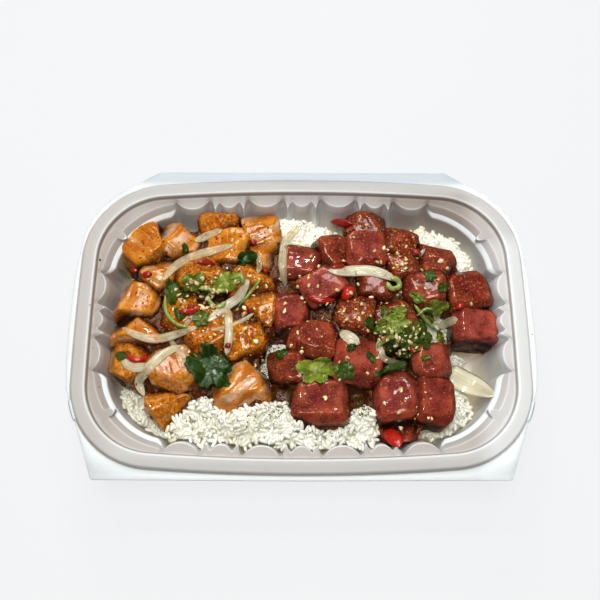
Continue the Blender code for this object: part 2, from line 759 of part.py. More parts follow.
def surface_normal(heights, x, y, reach):
    """The slope of what lies there, from heights on four sides."""
    slope_x = (heights.over(x + reach, y, 0) - heights.over(x - reach, y, 0)) / (2 * reach)
    slope_y = (heights.over(x, y + reach, 0) - heights.over(x, y - reach, 0)) / (2 * reach)
    return Vector((-slope_x, -slope_y, 1)).normalized()


def fuse(name, base, extras, finish):
    """One Boolean union of a body with the pieces on it. Loose scraps are dropped."""
    obj = make_object(name, base, finish, 0)
    if extras:
        group = bpy.data.collections.new(name + "_pieces")
        for number, extra in enumerate(extras):
            piece = make_object(f"{name}_piece_{number}", extra, finish, 0)
            bpy.context.scene.collection.objects.unlink(piece)
            group.objects.link(piece)
        union = obj.modifiers.new("union", "BOOLEAN")
        union.operation = "UNION"
        union.operand_type = "COLLECTION"
        union.collection = group
        union.solver = "EXACT"
        graph = bpy.context.evaluated_depsgraph_get()
        joined = bpy.data.meshes.new_from_object(obj.evaluated_get(graph))
        obj.modifiers.clear()
        obj.data = joined
        for piece in list(group.objects):
            bpy.data.objects.remove(piece)
        bpy.data.collections.remove(group)
        keep_largest_body(joined)
    obj.data.materials.clear()
    obj.data.materials.append(finish)


def keep_largest_body(mesh):
    """Drops loose scraps and the faces of sealed hollows, which both lie apart from the body."""
    bm = bmesh.new()
    bm.from_mesh(mesh)
    bmesh.ops.remove_doubles(bm, verts=bm.verts, dist=1e-7)
    unseen = set(bm.faces)
    bodies = []
    while unseen:
        seed = unseen.pop()
        body = {seed}
        front = [seed]
        while front:
            face = front.pop()
            for edge in face.edges:
                for other in edge.link_faces:
                    if other in unseen:
                        unseen.remove(other)
                        body.add(other)
                        front.append(other)
        bodies.append(body)
    bodies.sort(key=len, reverse=True)
    scraps = [face for body in bodies[1:] for face in body]
    if scraps:
        bmesh.ops.delete(bm, geom=scraps, context="FACES")
    bm.to_mesh(mesh)
    bm.free()


def rice_grains(core, blocks):
    """Grains half sunk in the rice where it shows, spread evenly and clear of the fish and the wall."""
    rng = random.Random(11)
    rice = Heights()
    rice.add(core)
    covered = Heights()
    for block in blocks:
        covered.add(block.bm)
    grains = []
    taken = []
    tries = 0
    while len(grains) < GRAIN_COUNT and tries < GRAIN_TRIES:
        tries += 1
        x = rng.uniform(-RIM_HALF_LENGTH, RIM_HALF_LENGTH)
        y = rng.uniform(-RIM_HALF_WIDTH, RIM_HALF_WIDTH)
        z = rice.over(x, y, 0)
        turn = math.atan2(y, x)
        edge = rice_reach(turn) * wall_distance(turn, z) - GRAIN_LENGTH / 2
        if z < FILLET_TOP or math.hypot(x, y) > edge:
            continue
        if covered.over(x, y, GRAIN_LENGTH / 2 + 2 * GAP) > 0:
            continue
        if any(math.hypot(x - other_x, y - other_y) < GRAIN_SPACING for other_x, other_y in taken):
            continue
        taken.append((x, y))
        normal = surface_normal(rice, x, y, 2)
        long_way = Vector((math.cos(rng.uniform(0, math.pi)), math.sin(rng.uniform(0, math.pi)), 0))
        long_way = (long_way - normal * long_way.dot(normal)).normalized()
        long_way = (long_way + normal * rng.uniform(*GRAIN_TILTS)).normalized()
        side = normal.cross(long_way).normalized()
        frame = Matrix((long_way, side, long_way.cross(side))).transposed().to_4x4()
        width = GRAIN_WIDTH * rng.uniform(*GRAIN_SIZES)
        grain = spindle(width * GRAIN_LENGTH / GRAIN_WIDTH, width, width * GRAIN_DEPTH, 6, 4)
        centre = Vector((x, y, z)) + normal * GRAIN_WIDTH * GRAIN_RISE
        bmesh.ops.transform(grain, matrix=Matrix.Translation(centre) @ frame, verts=grain.verts)
        grains.append(grain)
    return grains


def make_rice(blocks, heights, finish):
    core = make_rice_core(blocks, heights)
    grains = rice_grains(core, blocks)
    for grain in grains:
        heights.add(grain)
    heights.add(core)
    fuse("rice", core, grains, finish)


# Toppings fused to the fish

def bit_on_block(blocks, x, y, length, width, turn, height):
    """A flat lump half sunk in the top of the block under it, or nothing where it would overhang."""
    spin = math.radians(turn)
    long_way = Vector((math.cos(spin), math.sin(spin), 0))
    cross_way = Vector((-long_way.y, long_way.x, 0))
    ends = [long_way * side * (length / 2 + BIT_EDGE) for side in (-1, 1)]
    ends += [cross_way * side * (width / 2 + BIT_EDGE) for side in (-1, 1)]
    start = Vector((x, y, ABOVE_ALL))
    for block in blocks:
        if (block.centre.xy - start.xy).length > BLOCKS_MEET / 2:
            continue
        tree = BVHTree.FromBMesh(block.bm)
        middle, normal, _, _ = tree.ray_cast(start, DOWN)
        if middle is None or normal.z < BIT_STEEPEST or middle.z < block.centre.z:
            continue
        under = [tree.ray_cast(start + end, DOWN)[0] for end in ends]
        if any(hit is None or abs(hit.z - middle.z) > BIT_OVERHANG for hit in under):
            continue
        along = (long_way - normal * long_way.dot(normal)).normalized()
        frame = Matrix((along, normal.cross(along), normal)).transposed().to_4x4()
        lump = spindle(length, width, height, 6, 4)
        place = Matrix.Translation(middle + normal * BIT_RISE * height)
        bmesh.ops.transform(lump, matrix=place @ frame, verts=lump.verts)
        return block, lump
    return None


def bit_nearby(blocks, x, y, *shape):
    """The bit at its place, or at the nearest place around it that has room."""
    for away in BIT_SEARCH:
        for step in range(8 if away else 1):
            turn = math.pi * step / 4
            found = bit_on_block(blocks, x + away * math.cos(turn), y + away * math.sin(turn), *shape)
            if found is not None:
                return found
    return None


def make_fish(blocks, heights, salmon_finish, tuna_finish):
    extras = {block.name: [] for block in blocks}
    lumps = [(*row, FLAT_BIT_HEIGHT) for row in CHILLI_BITS + GREEN_BITS]
    lumps += [(x, y, GARLIC_SIZE, GARLIC_SIZE * 0.8, 37 * x, BIT_HEIGHT) for x, y in GARLIC_BITS]
    skipped = 0
    for x, y, *shape in lumps:
        found = bit_nearby(blocks, *placed(x, y, TOPPING_HEIGHT - 2), *shape)
        if found is None:
            skipped += 1
            continue
        block, lump = found
        heights.add(lump)
        extras[block.name].append(lump)
    print(f"bits fused to the fish: {len(lumps) - skipped}, left out: {skipped}")
    for block in blocks:
        heights.add(block.bm)
        finish = salmon_finish if block.name.startswith("salmon") else tuna_finish
        fuse(block.name, block.bm, extras[block.name], finish)


# Strips, leaves and chilli that lie on top

def smooth_line(points, step):
    """Points about a step apart along a smooth curve through the given ones."""
    given = [Vector(point) for point in points]
    given = [given[0] * 2 - given[1]] + given + [given[-1] * 2 - given[-2]]
    dense = []
    for a, b, c, d in zip(given, given[1:], given[2:], given[3:]):
        for k in range(20):
            t = k / 20
            dense.append(0.5 * (2 * b + (c - a) * t + (2 * a - 5 * b + 4 * c - d) * t**2
                                + (3 * b - a - 3 * c + d) * t**3))
    dense.append(given[-2])
    lengths = [0.0]
    for before, after in zip(dense, dense[1:]):
        lengths.append(lengths[-1] + (after - before).length)
    count = max(3, round(lengths[-1] / step))
    places = np.linspace(0, lengths[-1], count + 1)
    xs = np.interp(places, lengths, [p.x for p in dense])
    ys = np.interp(places, lengths, [p.y for p in dense])
    return [Vector((x, y)) for x, y in zip(xs, ys)]


def hang(line, heights, radius, bend):
    """Heights along a line that clear what is below and bend no tighter than the strip can."""
    fine = [heights.over(p.x, p.y, radius) for p in line]
    raised = []
    for p in line:
        raised.append(max(z - bend * (p - q).length_squared for q, z in zip(line, fine)))
    return raised


def ribbon(points, width, heights):
    """A strip with four sides that lies over what is below it and narrows towards both ends."""
    line = smooth_line([placed(x, y, TOPPING_HEIGHT) for x, y in points], 1.0)
    levels = hang(line, heights, width / 2, ONION_BEND)
    kept = list(range(0, len(line) - 1, ONION_STEP)) + [len(line) - 1]
    rings = []
    for number, k in enumerate(kept):
        before, after = line[max(k - 1, 0)], line[min(k + 1, len(line) - 1)]
        way = (after - before).normalized()
        share = number / (len(kept) - 1)
        swell = ONION_END_WIDTH + (1 - ONION_END_WIDTH) * math.sin(math.pi * share) ** 0.5
        half = Vector((-way.y, way.x)) * width / 2 * swell
        lean = ONION_LEAN * math.sin(3.0 * share + width)
        low = levels[k]
        high = low + ONION_THICKNESS
        ring = []
        for side, z, inward in ((-1, low, 1), (1, low, 1), (1, high, ONION_CROWN), (-1, high, ONION_CROWN)):
            place = line[k] + half * side * inward
            ring.append((place.x, place.y, z + lean * side))
        rings.append(ring)
    bm = bmesh.new()
    loft(bm, rings)
    heights.settle(bm)
    return bm


def leaf(x, y, length, width, turn, lobes, heights):
    """A thin wavy leaf with a lobed edge, both faces split alike."""
    x, y = placed(x, y, TOPPING_HEIGHT)
    spin = Matrix.Rotation(math.radians(turn), 2)
    flat = [Vector((x, y, 0))]
    for share in (0.5, 1.0):
        for k in range(LEAF_POINTS):
            angle = 2 * math.pi * k / LEAF_POINTS
            lobe = abs(math.cos(lobes * angle / 2)) ** 0.6
            edge = share * (1 - LEAF_NOTCH * share * (1 - lobe))
            out = spin @ Vector((length / 2 * edge * math.cos(angle), width / 2 * edge * math.sin(angle)))
            flat.append(Vector((x + out.x, y + out.y, LEAF_WAVE * share * math.sin(2 * angle + lobes))))
    ground = [heights.over(p.x, p.y, LEAF_TOUCH) for p in flat]
    lifted = [max(z - LEAF_BEND * (p.xy - q.xy).length_squared for q, z in zip(flat, ground)) for p in flat]
    bm = bmesh.new()
    sheets = []
    for offset in (0, LEAF_THICKNESS):
        sheets.append([bm.verts.new((p.x, p.y, z + p.z + offset)) for p, z in zip(flat, lifted)])
    for k in range(LEAF_POINTS):
        after = (k + 1) % LEAF_POINTS
        for sheet in sheets:
            centre = sheet[0]
            middle, outer = sheet[1 : 1 + LEAF_POINTS], sheet[1 + LEAF_POINTS :]
            bm.faces.new((centre, middle[k], middle[after]))
            bm.faces.new((middle[k], outer[k], outer[after]))
            bm.faces.new((middle[k], outer[after], middle[after]))
        low, high = (sheet[1 + LEAF_POINTS :] for sheet in sheets)
        bm.faces.new((low[k], low[after], high[after], high[k]))
    bmesh.ops.recalc_face_normals(bm, faces=bm.faces)
    heights.settle(bm)
    return bm


def chilli(x, y, length, width, turn, heights):
    """A cut piece of chilli that lies flat: a low pointed mound."""
    x, y = placed(x, y, TOPPING_HEIGHT - 4)
    bm = spindle(length, width, CHILLI_HEIGHT, 8, 6)
    place = Matrix.Translation((x, y, TRAY_HEIGHT)) @ Matrix.Rotation(math.radians(turn), 4, "Z")
    bmesh.ops.transform(bm, matrix=place, verts=bm.verts)
    heights.settle(bm)
    return bm


def main():
    clear_scene()
    tray_finish = material("tray_plastic", (0.79, 0.78, 0.75), 0.35)
    rice_finish = material("rice", (0.82, 0.81, 0.72), 0.45)
    salmon_finish = material("salmon", (0.66, 0.25, 0.08), 0.25)
    tuna_finish = material("tuna", (0.30, 0.03, 0.03), 0.25)
    onion_finish = material("onion", (0.76, 0.66, 0.45), 0.3)
    leaf_finish = material("leaf", (0.10, 0.20, 0.03), 0.4)
    chilli_finish = material("chilli", (0.45, 0.01, 0.01), 0.2)
    make_tray(tray_finish)
    heights = Heights()
    tray_mesh = bmesh.new()
    loft(tray_mesh, tray_rings())
    heights.add(tray_mesh)
    tray_mesh.free()
    blocks = make_blocks()
    make_rice(blocks, heights, rice_finish)
    make_fish(blocks, heights, salmon_finish, tuna_finish)
    toppings = []
    for number, row in enumerate(CHILLIES, 1):
        toppings.append((f"chilli_{number:02d}", chilli(*row, heights), chilli_finish, 50))
        heights.add(toppings[-1][1])
    for number, (points, width) in enumerate(ONIONS, 1):
        strip = ribbon(points, width, heights)
        toppings.append((f"onion_{number:02d}", strip, onion_finish, 40))
        heights.add(strip)
    for number, row in enumerate(LEAVES, 1):
        toppings.append((f"leaf_{number:02d}", leaf(*row, heights), leaf_finish, 40))
        heights.add(toppings[-1][1])
    for name, bm, finish, smooth_angle in toppings:
        make_object(name, bm, finish, smooth_angle)


main()
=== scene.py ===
# %% [markdown]
# # Salmon and tuna over rice in a fluted takeaway tray
# The real thing is a thin moulded plastic tray, packed with cooked rice and topped with diced raw fish in
# a spicy dressing, sliced onion, herbs, chilli and seeds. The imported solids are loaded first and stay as
# they are. Every piece below is modelled in millimetres and becomes metres at the end.

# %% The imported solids
import math
import random
from collections import namedtuple

import bmesh
import bpy
import numpy as np
from mathutils import Matrix, Vector, noise
from mathutils.bvhtree import BVHTree


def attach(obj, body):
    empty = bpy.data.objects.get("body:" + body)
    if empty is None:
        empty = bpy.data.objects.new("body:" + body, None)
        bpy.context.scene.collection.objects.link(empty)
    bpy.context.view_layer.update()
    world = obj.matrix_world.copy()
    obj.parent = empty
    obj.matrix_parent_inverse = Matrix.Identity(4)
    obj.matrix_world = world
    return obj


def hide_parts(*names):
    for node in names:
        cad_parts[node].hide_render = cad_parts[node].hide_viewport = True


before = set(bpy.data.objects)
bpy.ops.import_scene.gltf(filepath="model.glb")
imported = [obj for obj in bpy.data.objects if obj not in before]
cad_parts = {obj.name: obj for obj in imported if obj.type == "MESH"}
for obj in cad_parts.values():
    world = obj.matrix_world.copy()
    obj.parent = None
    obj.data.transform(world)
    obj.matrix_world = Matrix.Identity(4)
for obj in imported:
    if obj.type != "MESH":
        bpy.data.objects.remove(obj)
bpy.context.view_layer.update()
MM = 0.001

# %% [markdown]
# Shader arithmetic reads like a formula when a socket can be added and multiplied. `Value` wraps one
# socket, and each operator adds one Math node. `Finish` wraps a material and makes any other node.

# %% Helpers for materials
class Value:
    """One output of a node. Python's arithmetic on it adds Math nodes."""

    def __init__(self, finish, socket):
        self.finish = finish
        self.socket = socket

    def __add__(self, other):
        return self.finish.math("ADD", self, other)

    def __mul__(self, other):
        return self.finish.math("MULTIPLY", self, other)

    def __sub__(self, other):
        return self.finish.math("SUBTRACT", self, other)

    def __rsub__(self, other):
        return self.finish.math("SUBTRACT", other, self)

    __radd__ = __add__
    __rmul__ = __mul__

    def above(self, edge, soft):
        """0 below the edge and 1 above it, with a soft step between."""
        limits = {0: self, 1: edge - soft, 2: edge + soft, 3: 0.0, 4: 1.0}
        return self.finish.node("ShaderNodeMapRange", {"interpolation_type": "SMOOTHSTEP"}, limits)


class Finish:
    """A material, with one method that makes any node of it."""

    def __init__(self, name, **constants):
        self.material = bpy.data.materials.new(name)
        self.material.use_nodes = True
        self.tree = self.material.node_tree
        self.shader = self.tree.nodes["Principled BSDF"]
        for socket, number in constants.items():
            self.shader.inputs[socket.replace("_", " ")].default_value = number

    def node(self, kind, settings=None, inputs=None, output=0):
        made = self.tree.nodes.new(kind)
        for setting, value in (settings or {}).items():
            setattr(made, setting, value)
        for socket, value in (inputs or {}).items():
            self.link(value, made.inputs[socket])
        return Value(self, made.outputs[output])

    def link(self, value, socket):
        """Links a value to a socket, or sets the socket to a colour or number."""
        if isinstance(value, Value):
            self.tree.links.new(value.socket, socket)
        elif isinstance(value, tuple) and socket.type == "RGBA":
            socket.default_value = (*value, 1.0)
        else:
            socket.default_value = value

    def math(self, operation, first, second=0.0):
        return self.node("ShaderNodeMath", {"operation": operation}, {0: first, 1: second})

    def place(self):
        """The point in the object's own space, in millimetres."""
        point = self.node("ShaderNodeTexCoord", output=3)
        return self.node("ShaderNodeVectorMath", {"operation": "SCALE"}, {0: point, "Scale": 1 / MM})

    def attribute(self, name, output=2):
        """A named attribute of the mesh: output 0 is its colour, 1 its vector and 2 its number."""
        return self.node("ShaderNodeAttribute", {"attribute_name": name}, output=output)

    def parts(self, vector):
        """The three numbers of a vector."""
        split = self.node("ShaderNodeSeparateXYZ", None, {0: vector}).socket.node
        return [Value(self, output) for output in split.outputs]

    def stretched(self, point, scale):
        return self.node("ShaderNodeVectorMath", {"operation": "MULTIPLY"}, {0: point, 1: scale})

    def noise(self, point, size, detail=2.0, roughness=0.5):
        """Smooth noise between 0 and 1, with features about as large as size."""
        inputs = {"Vector": point, "Scale": 1 / size, "Detail": detail, "Roughness": roughness}
        return self.node("ShaderNodeTexNoise", None, inputs)

    def cells(self, point, size):
        """The distance to the nearest of many scattered points."""
        return self.node("ShaderNodeTexVoronoi", None, {"Vector": point, "Scale": 1 / size})

    def mix(self, share, first, second):
        inputs = {0: share, 6: first, 7: second}
        return self.node("ShaderNodeMix", {"data_type": "RGBA"}, inputs, output=2)

    def shade(self, share, colour, tint):
        """The colour multiplied by a tint, by a share."""
        settings = {"data_type": "RGBA", "blend_type": "MULTIPLY"}
        return self.node("ShaderNodeMix", settings, {0: share, 6: colour, 7: tint}, output=2)

    def vary(self, socket, value):
        """Lets one socket of the shader vary over the surface."""
        self.link(value, self.shader.inputs[socket])

    def colour(self, value):
        self.vary("Base Color", value)

    def rough(self, value):
        self.vary("Roughness", value)

    def bump(self, height, depth):
        """Relief in millimetres."""
        self.vary("Normal", self.node("ShaderNodeBump", None, {"Height": height, "Distance": depth * MM}))


# %% [markdown]
# A finished piece goes from millimetres to metres, rides on the one body, and hides the imported nodes it
# stands for. Sheets get their thickness from a modifier. Later pieces lie on earlier ones, and a search tree
# over those finds where.

# %% Helpers for pieces
made_pieces = []


def finish_piece(name, bm, finish, replaced=()):
    """Makes an object of a bmesh in millimetres, whose place is in its mesh."""
    bmesh.ops.scale(bm, vec=(MM, MM, MM), verts=bm.verts)
    mesh = bpy.data.meshes.new(name)
    bm.to_mesh(mesh)
    bm.free()
    mesh.materials.append(finish.material)
    mesh.shade_smooth()
    piece = bpy.data.objects.new(name, mesh)
    bpy.context.scene.collection.objects.link(piece)
    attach(piece, "root")
    if replaced:
        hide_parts(*replaced)
    made_pieces.append(piece)
    return piece


def thickened(piece, thickness, offset=-1):
    """A sheet's thickness, added below it, or above it with an offset of 1."""
    skin = piece.modifiers.new("thickness", "SOLIDIFY")
    skin.thickness = thickness * MM
    skin.offset = offset


def joined_tree(pieces):
    """A search tree over several finished pieces, in millimetres."""
    bm = bmesh.new()
    for piece in pieces:
        bm.from_mesh(piece.data)
    bmesh.ops.scale(bm, vec=(1 / MM, 1 / MM, 1 / MM), verts=bm.verts)
    tree = BVHTree.FromBMesh(bm)
    bm.free()
    return tree


def middle(bm):
    """The mean of all points."""
    return sum((vert.co for vert in bm.verts), Vector()) / len(bm.verts)


def triangle_count(mesh):
    return sum(len(face.vertices) - 2 for face in mesh.polygons)


# %% [markdown]
# ## Camera
# The photograph looks down on the tray from the front at about 70 degrees. The camera's place was worked
# out from the tray's rim, so that the rim, the ends and the corners fall where they do in the picture.

# %% Camera
CAMERA_ELEVATION = 70.0
CAMERA_AZIMUTH = -0.57
CAMERA_ROLL = 0.67
CAMERA_DISTANCE = 402.35
CAMERA_TARGET = Vector((-0.87, 9.05, 40.0))
CAMERA_LENS = 50.08


def camera_matrix():
    rise, around = math.radians(CAMERA_ELEVATION), math.radians(CAMERA_AZIMUTH)
    roll = math.radians(CAMERA_ROLL)
    back = Vector((math.sin(around) * math.cos(rise), -math.cos(around) * math.cos(rise), math.sin(rise)))
    right = Vector((math.cos(around), math.sin(around), 0))
    up = back.cross(right)
    turned_right = right * math.cos(roll) + up * math.sin(roll)
    turned_up = up * math.cos(roll) - right * math.sin(roll)
    matrix = Matrix((turned_right, turned_up, back)).transposed().to_4x4()
    matrix.translation = (CAMERA_TARGET + back * CAMERA_DISTANCE) * MM
    return matrix


camera_data = bpy.data.cameras.new("camera")
camera_data.lens = CAMERA_LENS
camera_data.sensor_width = 36
camera_data.clip_start = 0.01
camera = bpy.data.objects.new("camera", camera_data)
camera.matrix_world = camera_matrix()
bpy.context.scene.collection.objects.link(camera)
bpy.context.scene.camera = camera
print("camera at", [round(v, 4) for v in camera.matrix_world.translation])

# %% [markdown]
# ## Light and floor
# Most of the light comes from a wide lamp above. A second wide one, far behind the tray, makes the front wall
# brighter than the back one, as in the picture. A small one behind adds sheen, and two more, to the right and
# to the left, give wet glints. A dim sky keeps the hollows dark. The floor is a plain pale sheet that glows,
# so hardly any shadow shows. A display gamma below 1 gives the deep darks of the photograph.

# %% Light and floor
scene = bpy.context.scene
scene.view_settings.view_transform = "Standard"
scene.view_settings.gamma = 0.8
world = bpy.data.worlds.new("sky")
world.use_nodes = True
world.node_tree.nodes["Background"].inputs["Color"].default_value = (1.0, 0.985, 0.96, 1.0)
world.node_tree.nodes["Background"].inputs["Strength"].default_value = 0.2
scene.world = world

LAMP_AIM = Vector((0, 0, 30))
Lamp = namedtuple("Lamp", "name place size power")
LAMPS = [
    Lamp("key_back", (-80, 640, 560), 320, 2.3),
    Lamp("fill_top", (-20, -60, 920), 420, 5.2),
    Lamp("sheen_back", (20, 330, 800), 70, 0.26),
    Lamp("glint_right", (170, 280, 640), 40, 0.4),
    Lamp("glint_left", (-190, 240, 640), 40, 0.45),
]
for lamp in LAMPS:
    data = bpy.data.lights.new(lamp.name, "AREA")
    data.shape = "DISK"
    data.size = lamp.size * MM
    data.energy = lamp.power
    light = bpy.data.objects.new(lamp.name, data)
    place = Vector(lamp.place)
    turn = (place - LAMP_AIM).to_track_quat("Z", "Y")
    light.matrix_world = Matrix.Translation(place * MM) @ turn.to_matrix().to_4x4()
    scene.collection.objects.link(light)

FLOOR_HALF_SIZE = 6000
floor_finish = Finish("floor_sheet", Roughness=0.9, Emission_Color=(0.985, 0.99, 1.0, 1.0),
                      Emission_Strength=0.83)
floor_shade = floor_finish.noise(floor_finish.place(), 300.0)
floor_finish.colour(floor_finish.mix(floor_shade, (0.07, 0.07, 0.07), (0.09, 0.09, 0.09)))
floor_bm = bmesh.new()
bmesh.ops.create_grid(floor_bm, x_segments=4, y_segments=4, size=FLOOR_HALF_SIZE * MM)
floor_mesh = bpy.data.meshes.new("floor")
floor_bm.to_mesh(floor_mesh)
floor_bm.free()
floor_mesh.materials.append(floor_finish.material)
floor = bpy.data.objects.new("floor", floor_mesh)
scene.collection.objects.link(floor)
print(len(LAMPS), "lamps and the floor")

# %% [markdown]
# ## Tray
# The real tray is one thin sheet of off-white plastic, drawn into a mould. Its wall is fluted: rounded
# lobes stand between sharp recesses, a thin rib parts one flute from the next, and each corner has a flat
# strip. A closed ring of points round the rim is extruded again and again, and each new ring is moved to
# the next level of the wall's section. That keeps the quads in neat rows that follow the flutes.

# %% The tray's sizes
TRAY_HEIGHT = 40.0
SKIN = 0.8
RIM_HALF_LENGTH = 101.5
RIM_HALF_WIDTH = 67.4
CORNER_RADIUS = 33.8
LONG_SIDE_BOW = 2.5
SHORT_SIDE_BOW = 0.45
FLANGE_WIDTH = 6.4
GROOVE_WIDTH = 0.8
GROOVE_DEPTH = 0.9
SKIRT_DROP = 1.9
RIM_STEP_WIDTH = 0.9
RIM_STEP_DROP = 2.6
LEDGE_DROP = 3.4
FILLET_INSET = 0.9
FILLET_DROP = 5.4
WALL_SLOPE = 0.25
CORNER_SLOPE = 0.17
FILLET_TOP = 5.0
FLOOR_FILLET = 3.5
FLUTE_LEFT_AT_FLOOR = 0.3
STRIP_WIDTH = 2.5
STRIP_BAND = 2.7
STRIP_DROP = 6.4
STRIP_INSET_AT_ENDS = 6.3
STRIP_INSET_AT_MIDDLE = 10.1
STRIP_END_LENGTH = 3.0
LUG_HALF_WIDTH = 2.6
LUG_REACH = 4.2
LUG_TURNS = (30.0, 33.0)
# Along a side: widths of the lobes and of the gap between them; how far in the lobes, ribs and recesses
# reach; and the lobes in order, outwards from the narrow one in the middle
Flutes = namedtuple("Flutes", "wide narrow gap lobe_inset rib_inset wide_spike narrow_spike panels")
LONG_FLUTES = Flutes(17.5, 9.5, 5.0, 6.4, 7.6, 1.2, 3.3, ("wide", "narrow", "wide"))
SHORT_FLUTES = Flutes(16.2, 8.4, 4.9, 5.3, 6.5, 1.5, 3.0, ("wide",))
# The skirt's edge from the middle of the back, round the right side, to the middle of the front: x, y
SKIRT_OUTLINE = [
    (0, 78.0), (73.0, 78.0), (82.0, 72.3), (93.8, 65.0), (100.3, 58.5), (105.0, 51.5), (108.3, 43.0),
    (110.9, 22.0), (111.5, -6.0), (111.3, -22.0), (110.0, -35.5), (95.0, -77.5), (0, -78.0),
]
STATION_STEP = 0.62

# %% [markdown]
# The rim is two gently bowed sides and two shorter ones, joined by corner arcs that meet them smoothly. Each
# function gives a place on it and the direction that points straight out there.

# %% The line of the rim
def arc_radius(half_chord, bow):
    return (half_chord**2 + bow**2) / (2 * bow)


LONG_RADIUS = arc_radius(RIM_HALF_LENGTH - CORNER_RADIUS, LONG_SIDE_BOW)
SHORT_RADIUS = arc_radius(RIM_HALF_WIDTH - CORNER_RADIUS, SHORT_SIDE_BOW)


def corner_centre():
    """The centre of the corner's arc, which runs on smoothly from both bowed sides."""
    long_centre = Vector((0, RIM_HALF_WIDTH - LONG_RADIUS))
    short_centre = Vector((RIM_HALF_LENGTH - SHORT_RADIUS, 0))
    reach_long, reach_short = LONG_RADIUS - CORNER_RADIUS, SHORT_RADIUS - CORNER_RADIUS
    span = short_centre - long_centre
    along = (reach_long**2 - reach_short**2 + span.length**2) / (2 * span.length)
    across = math.sqrt(reach_long**2 - along**2)
    way = span.normalized()
    return long_centre + way * along + Vector((way.y, -way.x)) * across


CORNER = corner_centre()


def on_long_side(x):
    turn = math.asin(x / LONG_RADIUS)
    return x, RIM_HALF_WIDTH - LONG_RADIUS * (1 - math.cos(turn)), math.sin(turn), math.cos(turn)


def on_short_side(y):
    turn = math.asin(y / SHORT_RADIUS)
    return RIM_HALF_LENGTH - SHORT_RADIUS * (1 - math.cos(turn)), y, math.cos(turn), math.sin(turn)


def on_corner(turn):
    nx, ny = math.cos(turn), math.sin(turn)
    return CORNER.x + CORNER_RADIUS * nx, CORNER.y + CORNER_RADIUS * ny, nx, ny


print("corner arcs are centred at", round(CORNER.x, 1), round(CORNER.y, 1))

# %% [markdown]
# From the middle of a side to its last recess, lobes and ribs take turns. A lobe swells inwards between two
# sharp recesses, and a rib is a thin blade between the recesses of two neighbouring lobes.

# %% The flutes of one side
RIB_SHARPNESS = 1.8
LOBE_ROUNDNESS = 2.3


def side_features(flutes):
    """Knots (distance from the side's middle, spike inset, kind) out to the last recess."""
    at = flutes.narrow / 2
    features = [(0.0, at, flutes.narrow_spike, "lobe")]
    for kind in flutes.panels:
        wide = kind == "wide"
        width = flutes.wide if wide else flutes.narrow
        spike = flutes.wide_spike if wide else flutes.narrow_spike
        before = features[-1][2]
        features.append((at, at + flutes.gap, (before, spike), "rib"))
        at += flutes.gap
        features.append((at, at + width, spike, "lobe"))
        at += width
    return features


def ledge_edge(flutes, distance):
    """How far in the ledge reaches, and how much of a rib there is, at a distance from the middle."""
    for start, end, spike, kind in side_features(flutes):
        if distance > end:
            continue
        if kind == "rib":
            share = (distance - start) / (end - start)
            side = spike[0] if share < 0.5 else spike[1]
            rise = 1 - abs(2 * share - 1)
            return side + (flutes.rib_inset - side) * rise**RIB_SHARPNESS, rise
        if start == 0.0:
            share = 0.5 + distance / (2 * end)
        else:
            share = (distance - start) / (end - start)
        swell = 1 - abs(2 * share - 1) ** LOBE_ROUNDNESS
        return spike + (flutes.lobe_inset - spike) * swell, 0.0
    return spike, 0.0


print("the long side has", len(side_features(LONG_FLUTES)), "features from its middle to its last recess")

# %% [markdown]
# Stations stand closely along a quarter of the rim, and the other quarters mirror them. Each one knows how
# far in the ledge reaches there, and how much of a rib, of a corner strip and of a lug it has.

# %% The stations round the rim
Station = namedtuple("Station", "x y nx ny edge lobe rib corner lug")


def spread(start, end, length):
    """Evenly spread numbers from start to end, about one station step apart."""
    return [float(v) for v in np.linspace(start, end, max(2, round(length / STATION_STEP) + 1))]


def corner_path(short_end, long_end):
    """Places from the short side's last recess round the corner to the long side's last recess."""
    long_turn = math.atan2(CORNER.y - RIM_HALF_WIDTH + LONG_RADIUS, CORNER.x)
    short_turn = math.atan2(CORNER.y, CORNER.x - RIM_HALF_LENGTH + SHORT_RADIUS)
    short_join, long_join = SHORT_RADIUS * math.sin(short_turn), LONG_RADIUS * math.cos(long_turn)
    places = [on_short_side(y) for y in spread(short_end, short_join, short_join - short_end)]
    arc = (long_turn - short_turn) * CORNER_RADIUS
    places += [on_corner(turn) for turn in spread(short_turn, long_turn, arc)[1:]]
    places += [on_long_side(x) for x in spread(long_join, long_end, long_join - long_end)[1:]]
    return places


def corner_stations(places, lug_turn):
    """The corner's strip bows inwards, fades in over its rounded ends, and has one lug on the way."""
    gone = np.cumsum([0.0] + [math.hypot(b[0] - a[0], b[1] - a[1]) for a, b in zip(places, places[1:])])
    lug_place = on_corner(math.radians(lug_turn))
    stations = []
    for place, distance in list(zip(places, gone))[1:-1]:
        swell = math.sin(math.pi * distance / gone[-1]) ** 0.8
        strip = STRIP_INSET_AT_ENDS + (STRIP_INSET_AT_MIDDLE - STRIP_INSET_AT_ENDS) * swell
        corner = min(1.0, min(distance, gone[-1] - distance) / STRIP_END_LENGTH)
        away = math.hypot(place[0] - lug_place[0], place[1] - lug_place[1])
        lug = math.sqrt(max(0.0, 1 - (away / LUG_HALF_WIDTH) ** 2))
        stations.append(Station(*place, strip - STRIP_WIDTH / 2 - STRIP_BAND, strip, 0.0, corner, lug))
    return stations


